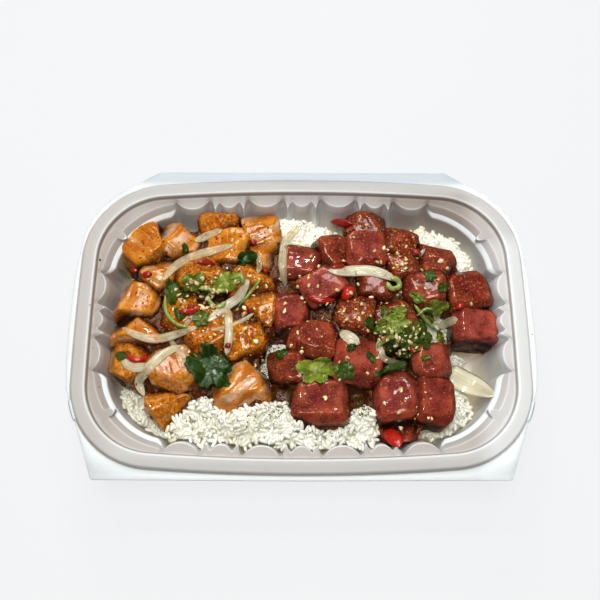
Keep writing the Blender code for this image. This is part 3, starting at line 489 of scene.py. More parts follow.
def quarter_stations(lug_turn):
    """Stations round a quarter of the rim, from the middle of the right side to the middle of the back."""
    stations = []
    short_end = side_features(SHORT_FLUTES)[-1][1]
    long_end = side_features(LONG_FLUTES)[-1][1]
    for y in spread(0, short_end, short_end):
        edge, rib = ledge_edge(SHORT_FLUTES, y)
        stations.append(Station(*on_short_side(y), edge, SHORT_FLUTES.lobe_inset, rib, 0.0, 0.0))
    stations += corner_stations(corner_path(short_end, long_end), lug_turn)
    for x in spread(long_end, 0, long_end):
        edge, rib = ledge_edge(LONG_FLUTES, x)
        stations.append(Station(*on_long_side(x), edge, LONG_FLUTES.lobe_inset, rib, 0.0, 0.0))
    return stations


def mirrored(stations, sx, sy):
    return [s._replace(x=s.x * sx, y=s.y * sy, nx=s.nx * sx, ny=s.ny * sy) for s in stations]


back, front = (quarter_stations(turn) for turn in LUG_TURNS)
STATIONS = back + list(reversed(mirrored(back, -1, 1)))[1:]
STATIONS += mirrored(front, -1, -1)[1:] + list(reversed(mirrored(front, 1, -1)))[1:-1]
print(len(STATIONS), "stations round the rim")

# %% [markdown]
# The section through rim and wall at one station is a list of (how far in, how far down, tone) points. Flute
# recesses fade towards the floor. In the corners a steep band and a flat strip take the flutes' place, and
# a half-round lug, on which the next tray in a stack rests, bridges the band. The tone is partly the
# plastic's
# own: the thin drawn wall lets more light through than the flange, so it is greyer and warmer. It is partly
# painted light and shade: the bead, the ribs, the corner strips and the lugs, edges that catch the light, get
# a high tone as painted highlights, and the step below the bead, the groove, the recesses and the corner
# band a low one as painted shade.

# %% The section through the rim and the wall
# The skirt is not quite centred on the rim: it stands this much further back.
SKIRT_SHIFT = 1.2


def skirt_reach(station):
    """How far out from the rim the skirt's edge lies, straight out from a station."""
    start = Vector((abs(station.x), station.y - SKIRT_SHIFT))
    way = Vector((abs(station.nx), station.ny))
    for (x0, y0), (x1, y1) in zip(SKIRT_OUTLINE, SKIRT_OUTLINE[1:]):
        edge = Vector((x1 - x0, y1 - y0))
        turn = way.x * edge.y - way.y * edge.x
        if abs(turn) < 1e-9:
            continue
        to_edge = Vector((x0, y0)) - start
        out = (to_edge.x * edge.y - to_edge.y * edge.x) / turn
        share = (to_edge.x * way.y - to_edge.y * way.x) / turn
        if out > 0 and -1e-3 <= share <= 1 + 1e-3:
            return out
    return FLANGE_WIDTH + 3 * GROOVE_WIDTH


# Painted light and shade: the ledge is darker, and the wall grows lighter towards the floor, which the walls
# and the food leave in shade
LEDGE_LIGHT_TONE = 0.27
WALL_LIGHT_TONE = 0.42
FLOOR_LIGHT_TONE = 0.5
WALL_DROPS = (8.2, 9.5, 12.0, 15.5, 19.5, 24.0, 29.0, 35.0)


def flute_wall(station, drop):
    """The fluted wall: recesses as deep as the ledge's at the top, and shallow at the floor."""
    straight = station.lobe + FILLET_INSET + WALL_SLOPE * (drop - FILLET_DROP)
    down = (drop - FILLET_DROP) / (TRAY_HEIGHT - FILLET_TOP - FILLET_DROP)
    left = 1 - (1 - FLUTE_LEFT_AT_FLOOR) * down**0.8
    if station.rib > 0:
        # The rib reaches further in than the lobes at the ledge, and runs down the wall as a fine line.
        fading = left * (0.25 + 0.75 * (1 - down) ** 2)
        return straight - (station.lobe - station.edge) * fading - 0.25 * station.rib
    return straight - (station.lobe - station.edge) * left


def corner_wall(station, drop):
    return station.lobe + STRIP_WIDTH / 2 + CORNER_SLOPE * (drop - STRIP_DROP - 0.5)


# Painted light: the wall's tone rises towards the floor
def wall_light_tone(drop):
    return WALL_LIGHT_TONE + (FLOOR_LIGHT_TONE - WALL_LIGHT_TONE) * min(drop / TRAY_HEIGHT * 1.1, 1.0)


def wall_section(station):
    recess = (station.lobe - station.edge) / station.lobe
    # Painted shade darkens the lip in the flute recesses, and a painted highlight lightens it on the ribs
    lip_light_tone = 0.75 - 0.3 * recess + 0.3 * station.rib
    edge = station.edge
    side = [(edge, LEDGE_DROP, lip_light_tone + 0.1), (edge + 0.22, LEDGE_DROP + 0.18, lip_light_tone),
            (edge + 0.42, LEDGE_DROP + 0.6, lip_light_tone), (edge + FILLET_INSET, FILLET_DROP, lip_light_tone - 0.1),
            (edge + 1.15, STRIP_DROP, lip_light_tone - 0.1), (edge + 1.3, STRIP_DROP + 0.5, lip_light_tone - 0.1)]
    # Each rib runs down the wall as a painted highlight
    side += [(flute_wall(station, drop), drop, wall_light_tone(drop) + 0.45 * station.rib) for drop in WALL_DROPS]
    if not station.corner:
        return side
    edge += LUG_REACH * station.lug
    outer = max(station.lobe - STRIP_WIDTH * 0.35, edge + 0.9)
    inner = max(station.lobe + STRIP_WIDTH * 0.35, outer + 0.4)
    # In the corners the lug and the flat strip get painted highlights, and the band between them painted
    # shade
    corner = [(edge, LEDGE_DROP, 0.6 + 0.6 * station.lug), (edge + 0.3, LEDGE_DROP + 0.25, 0.45),
              (edge + 0.3 * (outer - edge), LEDGE_DROP + 0.9, 0.3), (outer - 0.25, STRIP_DROP - 0.35, 0.3),
              (outer, STRIP_DROP, 1.3), (inner, STRIP_DROP + 0.5, 1.3)]
    corner += [(corner_wall(station, drop), drop, wall_light_tone(drop)) for drop in WALL_DROPS]
    blend = station.corner**0.5
    return [tuple(p + (q - p) * blend for p, q in zip(a, b)) for a, b in zip(side, corner)]


def section(station):
    """(inset, height, tone) points from the skirt's edge up over the flange and down to the floor."""
    skirt = skirt_reach(station)
    groove = FLANGE_WIDTH + GROOVE_WIDTH
    groove_drop = SKIRT_DROP + GROOVE_DEPTH
    # The groove below the flange has a low tone, as painted shade
    brim = [(-skirt, SKIRT_DROP + 0.9, 0.7), (-skirt, SKIRT_DROP + 0.25, 0.8),
            (-skirt + 0.25, SKIRT_DROP, 0.9), (-groove - 0.4, SKIRT_DROP, 0.9),
            (-groove, SKIRT_DROP + 0.25, 0.5), (-groove + 0.15, groove_drop, 0.3)]
    flange = [(-FLANGE_WIDTH - 0.3, groove_drop, 0.3), (-FLANGE_WIDTH - 0.1, 0.8, 0.45),
              (-FLANGE_WIDTH + 0.1, 0.3, 0.45), (-FLANGE_WIDTH + 0.6, 0.0, 0.45),
              (-FLANGE_WIDTH + 1.0, -0.02, 0.45), (-FLANGE_WIDTH / 2, -0.03, 0.45), (-1.1, -0.02, 0.5)]
    # A rounded bead with a bright painted highlight, then the step down to the ledge, painted dark as shade
    bead = [(-0.7, 0.0, 0.75), (-0.15, 0.12, 0.8), (0.15, 0.5, 0.4), (0.45, 1.5, 0.1),
            (RIM_STEP_WIDTH - 0.2, RIM_STEP_DROP - 0.35, 0.1), (RIM_STEP_WIDTH + 0.15, RIM_STEP_DROP, 0.45)]
    step, step_drop, _ = bead[-1]
    wall = wall_section(station)
    edge = wall[0][0]
    ledge = [(step + (edge - step) * share, step_drop + (LEDGE_DROP - step_drop) * share, LEDGE_LIGHT_TONE)
             for share in (0.25, 0.6, 0.9)]
    low = wall[-1][0]
    floor = [(low + FLOOR_FILLET * 0.3, TRAY_HEIGHT - FILLET_TOP * 0.45, FLOOR_LIGHT_TONE),
             (low + FLOOR_FILLET * 0.75, TRAY_HEIGHT - SKIN - 0.5, FLOOR_LIGHT_TONE),
             (low + FLOOR_FILLET * 1.3, TRAY_HEIGHT - SKIN, FLOOR_LIGHT_TONE)]
    return [(inset, TRAY_HEIGHT - drop, tone)
            for inset, drop, tone in brim + flange + bead + ledge + wall + floor]


print("a section has", len(section(STATIONS[0])), "levels")

# %% [markdown]
# The first ring is a circle whose points are put on the skirt's edge. Each extrusion of the ring makes
# the next row of quads, and each row keeps the tone of its level. The last ring is closed as the floor.

# %% The tray's sheet
def ring_edges(bm, ring):
    return [bm.edges.get((a, b)) for a, b in zip(ring, ring[1:] + ring[:1])]


def extruded_ring(bm, ring, places):
    """Extrudes a closed ring of vertices and puts the new ones at the given places, in the same order."""
    made = bmesh.ops.extrude_edge_only(bm, edges=ring_edges(bm, ring))["geom"]
    fresh = {item for item in made if isinstance(item, bmesh.types.BMVert)}
    following = []
    for vert, place in zip(ring, places):
        above = next(e.other_vert(vert) for e in vert.link_edges if e.other_vert(vert) in fresh)
        above.co = place
        following.append(above)
    return following


def tray_sheet():
    sections = [section(station) for station in STATIONS]
    bm = bmesh.new()
    tone = bm.verts.layers.float.new("tone")
    ring = bmesh.ops.create_circle(bm, segments=len(STATIONS), radius=1)["verts"]

    def level(index):
        return [(s.x - s.nx * line[index][0], s.y - s.ny * line[index][0], line[index][1])
                for s, line in zip(STATIONS, sections)]

    for vert, place in zip(ring, level(0)):
        vert.co = place
    for index in range(1, len(sections[0])):
        ring = extruded_ring(bm, ring, level(index))
        for vert, line in zip(ring, sections):
            vert[tone] = line[index][2]
    bmesh.ops.contextual_create(bm, geom=ring_edges(bm, ring))
    bmesh.ops.recalc_face_normals(bm, faces=bm.faces)
    floor_face = max(bm.faces, key=lambda face: len(face.verts))
    if floor_face.normal.z < 0:
        bmesh.ops.reverse_faces(bm, faces=bm.faces)
    return bm


print("the sheet's rows have", len(STATIONS), "quads each")

# %% [markdown]
# The plastic is pale and hardly shiny. Its colour runs from a warm grey, where the drawn wall is thin and the
# food behind it shows through, to a bluish white on the thick flange. The tone of each level says how far,
# and also holds painted light and shade. It rises or falls a little at places that the picture shows lighter
# or
# darker: it is raised as painted light at the right end and on the front wall, and lowered as painted shade
# at the left end and on the right part of the back wall, which lies in shade. Grey tints then paint shade on
# the back wall, on the back flange and skirt, and on the front flange. Near the floor the wall has a painted
# warm glow, which stands for light that comes through the thin plastic.

# %% The tray's plastic
# Where the tone changes: an edge in millimetres, and half the width of the change
FRONT_WALL, FRONT_FLANGE, FRONT_RIM = (-59.0, 3.0), (-68.0, 3.0), (-74.0, 1.5)
LEFT_END, RIGHT_END = (-88.0, 6.0), (84.0, 6.0)
SHADE_RIGHT_OF, SHADE_BEHIND, SHADE_BEFORE = (40.0, 12.0), (42.0, 6.0), (66.0, 3.0)
BACK_WALL, BACK_FLANGE = (62.0, 4.0), (73.0, 2.0)
GLOW_BELOW = (13.0, 10.0)

tray_finish = Finish("tray_plastic", Specular_IOR_Level=0.15, Subsurface_Weight=0.08, Subsurface_Scale=0.004,
                     Emission_Strength=1.0)
tray_place = tray_finish.place()
tray_across, tray_back, tray_height = tray_finish.parts(tray_place)
# A painted warm glow low on the wall and floor, for light that comes through the thin plastic
tray_glow = tray_finish.mix(tray_height.above(*GLOW_BELOW), (0.140, 0.108, 0.062), (0.0, 0.0, 0.0))
tray_finish.vary("Emission Color", tray_glow)

# Painted light raises the tone on the front wall and at the right end, and painted shade lowers it at the
# left end and on the shaded right part of the back wall
tray_light_tone = tray_finish.attribute("tone") + (1.0 - tray_back.above(*FRONT_WALL)) * 0.02
tray_light_tone = tray_light_tone + tray_across.above(*RIGHT_END) * 0.24 - (1.0 - tray_across.above(*LEFT_END)) * 0.08
tray_shade = tray_across.above(*SHADE_RIGHT_OF) * tray_back.above(*SHADE_BEHIND)
tray_light_tone = tray_light_tone - tray_shade * (1.0 - tray_back.above(*SHADE_BEFORE)) * 0.2

tray_cloud = tray_finish.noise(tray_place, 40.0, detail=3.0)
tray_thin = tray_finish.mix(tray_cloud, (0.34, 0.295, 0.25), (0.38, 0.33, 0.285))
tray_base = tray_finish.mix(tray_light_tone, tray_thin, (0.87, 0.905, 0.915))
# Grey tints as painted shade: on the back wall, on the front flange, and on the back flange and skirt
tray_base = tray_finish.shade(tray_back.above(*BACK_WALL), tray_base, (0.93, 0.935, 0.94))
tray_front_shade = (1.0 - tray_back.above(*FRONT_FLANGE)) * tray_back.above(*FRONT_RIM)
tray_base = tray_finish.shade(tray_front_shade, tray_base, (0.90, 0.91, 0.91))
tray_finish.colour(tray_finish.shade(tray_back.above(*BACK_FLANGE), tray_base, (0.76, 0.79, 0.82)))
tray_finish.rough(tray_finish.noise(tray_place, 9.0, detail=4.0) * 0.14 + 0.42)
tray_finish.bump(tray_finish.noise(tray_place, 1.6, detail=3.0), 0.05)

tray = finish_piece("tray", tray_sheet(), tray_finish, ["tray"])
thickened(tray, SKIN)
corners = np.array([vert.co for vert in tray.data.vertices])
print("tray", triangle_count(tray.data), "triangles", corners.min(0).round(4), corners.max(0).round(4))

# %% [markdown]
# ## Fish
# Each piece of fish is a hand-cut cube that is softer than it is sharp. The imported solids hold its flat
# faces, with small toppings fused on. Here the large flat faces of each solid are read as planes, and a cube
# is cut down by them to a clean block, which stays where the solid is.

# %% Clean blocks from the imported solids
FLAT_FACE_AREA = 5.0
SAME_PLANE = 0.9995
SAME_OFFSET = 0.08
UNCUT_SIZE = 60


def packed_points(node):
    """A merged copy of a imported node, in millimetres."""
    bm = bmesh.new()
    bm.from_mesh(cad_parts[node].data)
    bmesh.ops.scale(bm, vec=(1 / MM, 1 / MM, 1 / MM), verts=bm.verts)
    bmesh.ops.remove_doubles(bm, verts=bm.verts, dist=1e-3)
    return bm


def large_planes(bm):
    """(normal, offset) of each flat face that is larger than a fused bit's facets."""
    planes = []
    for face in sorted(bm.faces, key=lambda f: -f.calc_area()):
        area, normal = face.calc_area(), face.normal.copy()
        offset = normal.dot(face.calc_center_median())
        for plane in planes:
            if plane[0].dot(normal) > SAME_PLANE and abs(plane[1] - offset) < SAME_OFFSET:
                plane[2] += area
                break
        else:
            planes.append([normal, offset, area])
    return [(normal, offset) for normal, offset, area in planes if area > FLAT_FACE_AREA]


def cut_down(centre, planes):
    """A cube cut by planes that all face outwards. After each cut, a hull closes it again."""
    bm = bmesh.new()
    bmesh.ops.create_cube(bm, size=UNCUT_SIZE, matrix=Matrix.Translation(centre))
    for normal, offset in planes:
        geometry = list(bm.verts) + list(bm.edges) + list(bm.faces)
        bmesh.ops.bisect_plane(bm, geom=geometry, dist=1e-5, plane_co=normal * offset, plane_no=normal,
                               clear_outer=True)
        corners = [vert.co.copy() for vert in bm.verts]
        bm.clear()
        for corner in corners:
            bm.verts.new(corner)
        bmesh.ops.remove_doubles(bm, verts=bm.verts, dist=0.01)
        bmesh.ops.convex_hull(bm, input=bm.verts)
    return bm


def flat_faces(node):
    """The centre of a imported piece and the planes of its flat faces."""
    packed = packed_points(node)
    centre, planes = middle(packed), large_planes(packed)
    packed.free()
    return centre, planes


print("salmon_01 has", len(flat_faces("salmon_01")[1]), "flat faces")

# %% [markdown]
# A knife slopes some faces and takes slivers off corners. Some of these cuts can be seen in the photograph
# and are listed, and the others are random. Each piece also lies a little tilted. A few pieces look like
# plain, nearly level cubes, and get smaller cuts and less tilt.

# %% Knife cuts
Cuts = namedtuple("Cuts", "corners corner_depth slopes slope_depth")
SALMON_CUTS = Cuts(3, (0.8, 3.0), 2, (2.0, 5.0))
TUNA_CUTS = Cuts(3, (0.6, 2.4), 2, (1.0, 3.4))
PLAIN_CUTS = Cuts(2, (0.5, 1.2), 0, (0, 0))
PLAIN_PIECES = ("tuna_11", "tuna_13", "tuna_14", "tuna_17", "tuna_18", "tuna_07")
MOST_TILT = 12.0
PLAIN_TILT = 0.3 * MOST_TILT

# Cuts that the photograph shows on single pieces: degrees around from +X, degrees up, millimetres taken off
PIECE_CUTS = {
    "salmon_01": [(-135, 20, 4.5), (-50, 25, 5.0)],
    "salmon_02": [(150, 20, 3.0), (-20, 20, 2.5)],
    "salmon_05": [(90, 40, 3.0)],
    "salmon_10": [(150, 20, 5.0), (45, 15, 4.5), (-60, 30, 2.0)],
    "salmon_11": [(-45, 20, 3.0), (-110, 30, 3.0)],
    "salmon_12": [(180, 15, 4.5), (-135, 12, 4.5), (-45, 12, 4.0)],
    "salmon_13": [(-120, 15, 4.5), (-50, 20, 3.0)],
    "salmon_14": [(-100, 25, 4.0)],
    "salmon_15": [(160, 30, 4.0)],
    "tuna_01": [(150, 35, 3.5), (30, 35, 3.0)],
    "tuna_07": [(60, 40, 2.5)],
    "tuna_10": [(-100, 20, 3.0)],
    "tuna_11": [(-110, 10, 2.5)],
    "tuna_15": [(-150, 10, 3.0)],
    "tuna_17": [(-90, 10, 4.5), (-60, 15, 2.0)],
}


def facing(around, rise):
    """The direction that lies so many degrees around from +X and so many up."""
    around, rise = math.radians(around), math.radians(rise)
    return Vector((math.cos(around) * math.cos(rise), math.sin(around) * math.cos(rise), math.sin(rise)))


def knife_cuts(bm, node, cuts, rng):
    """Planes that take slivers off a few corners and slope part of the top, as an uneven knife does."""
    def cut(normal, depth):
        return normal, max(vert.co.dot(normal) for vert in bm.verts) - depth

    planes = [cut(facing(around, rise), depth) for around, rise, depth in PIECE_CUTS.get(node, [])]
    centre = middle(bm)
    for _ in range(cuts.corners):
        normal = (rng.choice(list(bm.verts)).co - centre).normalized()
        normal = (normal + Vector([rng.uniform(-0.45, 0.45) for _ in range(3)])).normalized()
        planes.append(cut(normal, rng.uniform(*cuts.corner_depth)))
    around = rng.uniform(0, 360)
    for _ in range(cuts.slopes):
        normal = facing(around, rng.uniform(35, 62))
        planes.append(cut(normal, rng.uniform(*cuts.slope_depth)))
        around += rng.uniform(85, 170)
    return planes


def tilted(planes, centre, most, rng):
    """The same planes, turned a little together about the centre of the piece."""
    turn = Matrix.Rotation(math.radians(rng.uniform(-most, most)), 3, "X")
    turn = turn @ Matrix.Rotation(math.radians(rng.uniform(-most, most)), 3, "Y")
    return [(turn @ normal, offset + (turn @ normal - normal).dot(centre)) for normal, offset in planes]


print(sum(len(cuts) for cuts in PIECE_CUTS.values()), "listed cuts on", len(PIECE_CUTS), "pieces")

# %% [markdown]
# A voxel remesh gives a block an even skin of small quads, which can be smoothed and moved, so that the
# flakes of the flesh are real relief.

# %% Even skin
SKIN_STEP = 0.62


def even_skin(name, bm, step):
    """The same shape with small even quads all over, from a voxel remesh."""
    mesh = bpy.data.meshes.new(name)
    bm.to_mesh(mesh)
    bm.free()
    rough = bpy.data.objects.new(name, mesh)
    bpy.context.scene.collection.objects.link(rough)
    remesh = rough.modifiers.new("remesh", "REMESH")
    remesh.mode = "VOXEL"
    remesh.voxel_size = step
    graph = bpy.context.evaluated_depsgraph_get()
    even = bpy.data.meshes.new_from_object(rough.evaluated_get(graph))
    bpy.data.objects.remove(rough)
    bpy.data.meshes.remove(mesh)
    skin_bm = bmesh.new()
    skin_bm.from_mesh(even)
    bpy.data.meshes.remove(even)
    return skin_bm


def soften(bm, times):
    for _ in range(times):
        bmesh.ops.smooth_vert(bm, verts=bm.verts, factor=0.5,
                              use_axis_x=True, use_axis_y=True, use_axis_z=True)


# %% [markdown]
# Salmon parts along thin layers of pale fat, tuna along fine fibres. Each piece has its own direction of
# layers. The warped distance across them is kept as an attribute, so that the relief and the colour, which
# both read it, agree. A second attribute says how much dressing is on the piece, how pale it is, and, once
# all pieces are made, how deep each point lies between its neighbours, where painted shade darkens the flesh.
# A third one is high near an edge, where thin flesh lets light through and looks more golden.

# %% Flesh relief
Flesh = namedtuple("Flesh", "spacing groove step_height swell swell_size ripple ripple_size smoothing")
SALMON_FLESH = Flesh(4.2, 0.20, 0.18, 0.5, 6.5, 0.06, 1.8, 3)
TUNA_FLESH = Flesh(1.7, 0.03, 0.02, 0.45, 8.0, 0.04, 1.8, 3)
# Dressing on it, paleness, direction of the layers in degrees from +X, and their lean.
SALMON_LOOKS = [
    (0.2, 0.25, 60, 30), (0.1, 0.65, 140, 20), (0.6, 0.2, 20, 40), (0.15, 0.3, 5, 10), (0.2, 0.6, 120, 30),
    (0.15, 0.45, 75, 35), (0.7, 0.2, 150, 20), (0.75, 0.15, 8, 8), (0.95, 0.0, -8, 12), (0.15, 0.75, 130, 25),
    (0.45, 0.65, 35, 35), (0.65, 0.1, 100, 15), (0.5, 0.3, 25, 45), (0.1, 0.4, 95, 40), (0.1, 0.55, 160, 30),
    (0.3, 0.5, 50, 25), (0.85, 0.2, 80, 20), (0.8, 0.2, 10, 30), (0.9, 0.15, 120, 20),
]
TUNA_LOOKS = [
    (0.75, 0.3, 20, 20), (0.15, 0.6, 95, 10), (0.85, 0.3, 60, 20), (0.9, 0.3, 10, 15), (0.2, 0.45, 80, 30),
    (0.5, 0.25, 130, 20), (0.2, 0.8, 30, 10), (0.15, 0.55, 100, 15), (0.5, 0.3, 5, 20), (0.3, 0.05, 70, 20),
    (0.25, 0.3, 95, 10), (0.1, 0.7, 80, 15), (0.1, 0.5, 92, 5), (0.1, 0.3, 88, 10), (0.35, 0.2, 100, 20),
    (0.3, 0.85, 60, 20), (0.1, 0.75, 15, 25), (0.4, 0.1, 120, 20), (0.6, 0.3, 40, 20), (0.3, 0.35, 75, 15),
    (0.4, 0.3, 30, 20), (0.9, 0.25, 110, 20), (0.85, 0.25, 50, 20),
]


def noise_at(point, size, seed):
    return noise.noise(Vector((point[0] / size + seed, point[1] / size - seed, point[2] / size + 2 * seed)))


EDGE_WIDTH = 2.6
GROOVE_SHARE = 0.13


def shape_flesh(bm, flesh, look, planes, seed):
    """Moves the skin in and out, and stores the three attributes."""
    dressing, pale, turn, lean = look
    soften(bm, flesh.smoothing)
    bm.normal_update()
    centre = middle(bm)
    across = facing(turn, lean)
    along = across.cross(Vector((0.1, 0.2, 1))).normalized()
    third = across.cross(along)
    layer = bm.verts.layers.float_vector.new("flesh")
    mood = bm.verts.layers.float_vector.new("mood")
    edge = bm.verts.layers.float.new("edge")
    moves = []
    for vert in bm.verts:
        local = vert.co - centre
        swell = noise_at(local, flesh.swell_size, seed)
        ripple = noise_at(local, flesh.ripple_size, seed + 7)
        # The layers are warped by noise and by a slow wave.
        warp = 1.1 * noise_at(local, 7.0, seed + 3) + 0.35 * ripple
        distance = local.dot(across) + warp + 0.8 * math.sin(local.dot(across) * 0.45 + seed)
        lines = distance / flesh.spacing
        to_line = abs(lines - round(lines)) * flesh.spacing
        # Each layer stands out or back by its own amount, which a sine of its number scatters.
        terrace = math.sin(12.9898 * math.floor(lines + 0.5) + seed) * flesh.step_height
        groove = flesh.groove * math.exp(-((to_line / (GROOVE_SHARE * flesh.spacing)) ** 2))
        move = flesh.swell * swell + flesh.ripple * ripple - groove + terrace * min(1.0, to_line / 0.8)
        moves.append(vert.normal * (move - 0.1))
        vert[layer] = (distance, local.dot(along), local.dot(third))
        vert[mood] = (dressing, pale, 0.0)
        # A point near an edge is close to two of the planes.
        second = sorted(offset - vert.co.dot(normal) for normal, offset in planes)[1]
        vert[edge] = max(0.0, 1 - second / EDGE_WIDTH)
    for vert, move in zip(bm.verts, moves):
        vert.co += move
    soften(bm, 1)


print(len(SALMON_LOOKS), "looks of salmon and", len(TUNA_LOOKS), "of tuna")

# %% [markdown]
# Raw salmon is orange flesh with near-white fat between its flakes, wet with a brown-orange dressing. Where
# it lies deep between pieces, it is painted near black as shade. A clear coat makes it wet, and light that
# scatters inside makes it soft.

# %% Salmon finish
def wet_flesh(finish, place, fineness, depth):
    """Small relief on the wet skin, so that lamps break up into glints."""
    swell = finish.noise(place, fineness, detail=1.0)
    grain = finish.noise(place, fineness * 0.35, detail=2.0)
    finish.bump(swell + grain * 0.3, depth)


def salmon_colours(paint):
    place = paint.place()
    layers = paint.attribute("flesh", 1)
    across = paint.parts(layers)[0]
    dressing, pale, deep = paint.parts(paint.attribute("mood", 1))
    edge = paint.attribute("edge")
    fibres = paint.noise(paint.stretched(layers, (1.0, 0.25, 0.25)), 1.3, detail=3.0, roughness=0.6)
    blotch = paint.noise(place, 5.5, detail=3.0)
    # The flesh itself, darker or lighter in blotches, paler or more golden
    flesh = paint.mix(blotch.above(0.5, 0.2), (0.55, 0.192, 0.009), (0.80, 0.390, 0.038))
    flesh = paint.mix(pale * blotch.above(0.45, 0.2) * 0.9, flesh, (0.68, 0.31, 0.12))
    flesh = paint.mix(pale * pale * 0.45, flesh, (0.62, 0.30, 0.15))
    flesh = paint.mix(fibres.above(0.56, 0.12) * 0.25, flesh, (0.82, 0.40, 0.05))
    # Wide whitish bands of fat on pale pieces
    bands = across * 0.115 + fibres * 0.1
    wide = paint.math("PINGPONG", bands + 0.2, 0.5).above(0.29, 0.04)
    flesh = paint.mix(wide * paint.math("MAXIMUM", pale - 0.3, 0.0) * 3.0, flesh, (0.88, 0.69, 0.56))
    # Edges are painted more golden, as painted light for what shines through thin flesh
    flesh = paint.mix(edge * (blotch.above(0.4, 0.2) * 0.6 + 0.35), flesh, (0.74, 0.325, 0.013))
    # Thin lines of fat between the layers, where the relief has its grooves
    lines = across * (1 / SALMON_FLESH.spacing) + fibres * 0.12 - 0.06
    fat = paint.math("PINGPONG", lines + 0.5, 0.5).above(0.40, 0.045)
    patchy = paint.noise(place, 4.5, detail=2.0).above(0.46, 0.14)
    flesh = paint.mix(fat * patchy * (pale * 0.45 + 0.45), flesh, (0.86, 0.58, 0.38))
    # The dressing: a film and its grain; then darker blotches, and near-black painted shade where the flesh
    # lies deep between pieces
    film = (dressing * 0.9 + 0.03) * paint.noise(place, 3.0, detail=4.0, roughness=0.65).above(0.52, 0.1)
    flesh = paint.mix(film * 0.9, flesh, (0.33, 0.095, 0.002))
    mottle = paint.noise(place, 0.9, detail=3.0, roughness=0.7).above(0.52, 0.16)
    flesh = paint.shade(mottle * dressing * 0.5, flesh, (0.62, 0.46, 0.22))
    flesh = paint.shade(paint.noise(place, 9.0, detail=1.0).above(0.5, 0.14) * 0.7, flesh, (0.72, 0.50, 0.26))
    flesh = paint.mix((deep + blotch * 0.25 - 0.1).above(0.24, 0.22) * 0.95, flesh, (0.055, 0.012, 0.001))
    # Chilli and seeds in it
    fleck = paint.noise(place, 1.0, detail=2.0).above(0.63, 0.03)
    flesh = paint.mix((dressing * 0.8 + 0.25) * fleck, flesh, (0.34, 0.030, 0.006))
    seeds = paint.noise(place, 1.3, detail=1.0).above(0.67, 0.03)
    flesh = paint.mix(seeds * (dressing * 0.8 + 0.15), flesh, (0.82, 0.56, 0.16))
    paint.colour(flesh)
    paint.rough(fibres * 0.2 + 0.3)
    paint.vary("Coat Weight", paint.noise(place, 4.0).above(0.46, 0.08) * 0.85 + 0.03)
    wet_flesh(paint, place, 2.0, 0.5)


salmon_finish = Finish("salmon_flesh", Subsurface_Weight=0.08, Subsurface_Scale=0.0016, Coat_Roughness=0.055,
                       IOR=1.4, Specular_IOR_Level=0.08, Subsurface_Radius=(1.0, 0.38, 0.16))
salmon_colours(salmon_finish)
print("salmon finish has", len(salmon_finish.tree.nodes), "nodes")

# %% [markdown]
# Tuna is a deep, slightly translucent red with fine fibres that show as paler, close streaks. Where the
# spicy dressing sticks to it, it turns brown and grainy.

# %% Tuna finish
def tuna_colours(paint):
    place = paint.place()
    layers = paint.attribute("flesh", 1)
    dressing, pale, deep = paint.parts(paint.attribute("mood", 1))
    edge = paint.attribute("edge")
    fibres = paint.noise(paint.stretched(layers, (1.0, 0.18, 0.18)), 0.75, detail=3.0, roughness=0.6)
    blotch = paint.noise(place, 6.0, detail=3.0)
    # The flesh itself, darker or lighter in blotches, with paler fibres and edges that glow
    flesh = paint.mix(blotch.above(0.5, 0.25), (0.13, 0.007, 0.006), (0.31, 0.032, 0.028))
    flesh = paint.mix(pale * blotch.above(0.42, 0.25), flesh, (0.56, 0.150, 0.125))
    flesh = paint.mix(fibres.above(0.53, 0.12) * 0.16, flesh, (0.56, 0.19, 0.13))
    flesh = paint.mix(edge * blotch.above(0.45, 0.2) * 0.6, flesh, (0.60, 0.15, 0.045))
    # The dressing: a film and its grain; then darker blotches, tiny painted glints, and near-black painted
    # shade where the flesh lies deep between pieces
    film = (dressing * 0.9 + 0.1) * paint.noise(place, 2.8, detail=4.0, roughness=0.7).above(0.48, 0.1)
    flesh = paint.mix(film * 0.85, flesh, (0.20, 0.050, 0.004))
    mottle = paint.noise(place, 0.8, detail=3.0, roughness=0.7).above(0.52, 0.16)
    flesh = paint.shade(mottle * 0.14, flesh, (0.55, 0.35, 0.35))
    flesh = paint.shade(paint.noise(place, 9.0, detail=1.0).above(0.5, 0.16) * 0.7, flesh, (0.50, 0.30, 0.30))
    glints = paint.noise(paint.stretched(layers, (1.0, 0.6, 0.6)), 0.5, detail=1.0).above(0.66, 0.04)
    flesh = paint.mix(glints * 0.35, flesh, (0.74, 0.36, 0.31))
    flesh = paint.mix((deep + blotch * 0.25 - 0.1).above(0.24, 0.22) * 0.95, flesh, (0.035, 0.006, 0.002))
    # Chilli and seeds in it
    fleck = paint.noise(place, 1.0, detail=2.0).above(0.63, 0.03)
    flesh = paint.mix(fleck * dressing * 0.95, flesh, (0.52, 0.15, 0.015))
    seeds = paint.noise(place, 1.3, detail=1.0).above(0.67, 0.03)
    flesh = paint.mix(seeds * dressing * 0.9, flesh, (0.74, 0.46, 0.14))
    paint.colour(flesh)
    paint.rough(fibres * 0.2 + 0.3)
    paint.vary("Coat Weight", paint.noise(place, 4.0).above(0.47, 0.1) * 0.75 + 0.03)
    wet_flesh(paint, place, 1.5, 0.34)


tuna_finish = Finish("tuna_flesh", Subsurface_Weight=0.06, Subsurface_Scale=0.0016, Coat_Roughness=0.08,
                     IOR=1.4, Specular_IOR_Level=0.08, Subsurface_Radius=(1.0, 0.2, 0.15))
tuna_colours(tuna_finish)
print("tuna finish has", len(tuna_finish.tree.nodes), "nodes")

# %% [markdown]
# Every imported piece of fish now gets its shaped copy, which takes its place in the picture. Its faces are
# first moved out a little, because softening and cuts take flesh away. What would then stand through the
# tray is pulled back to the inner side of its wall.

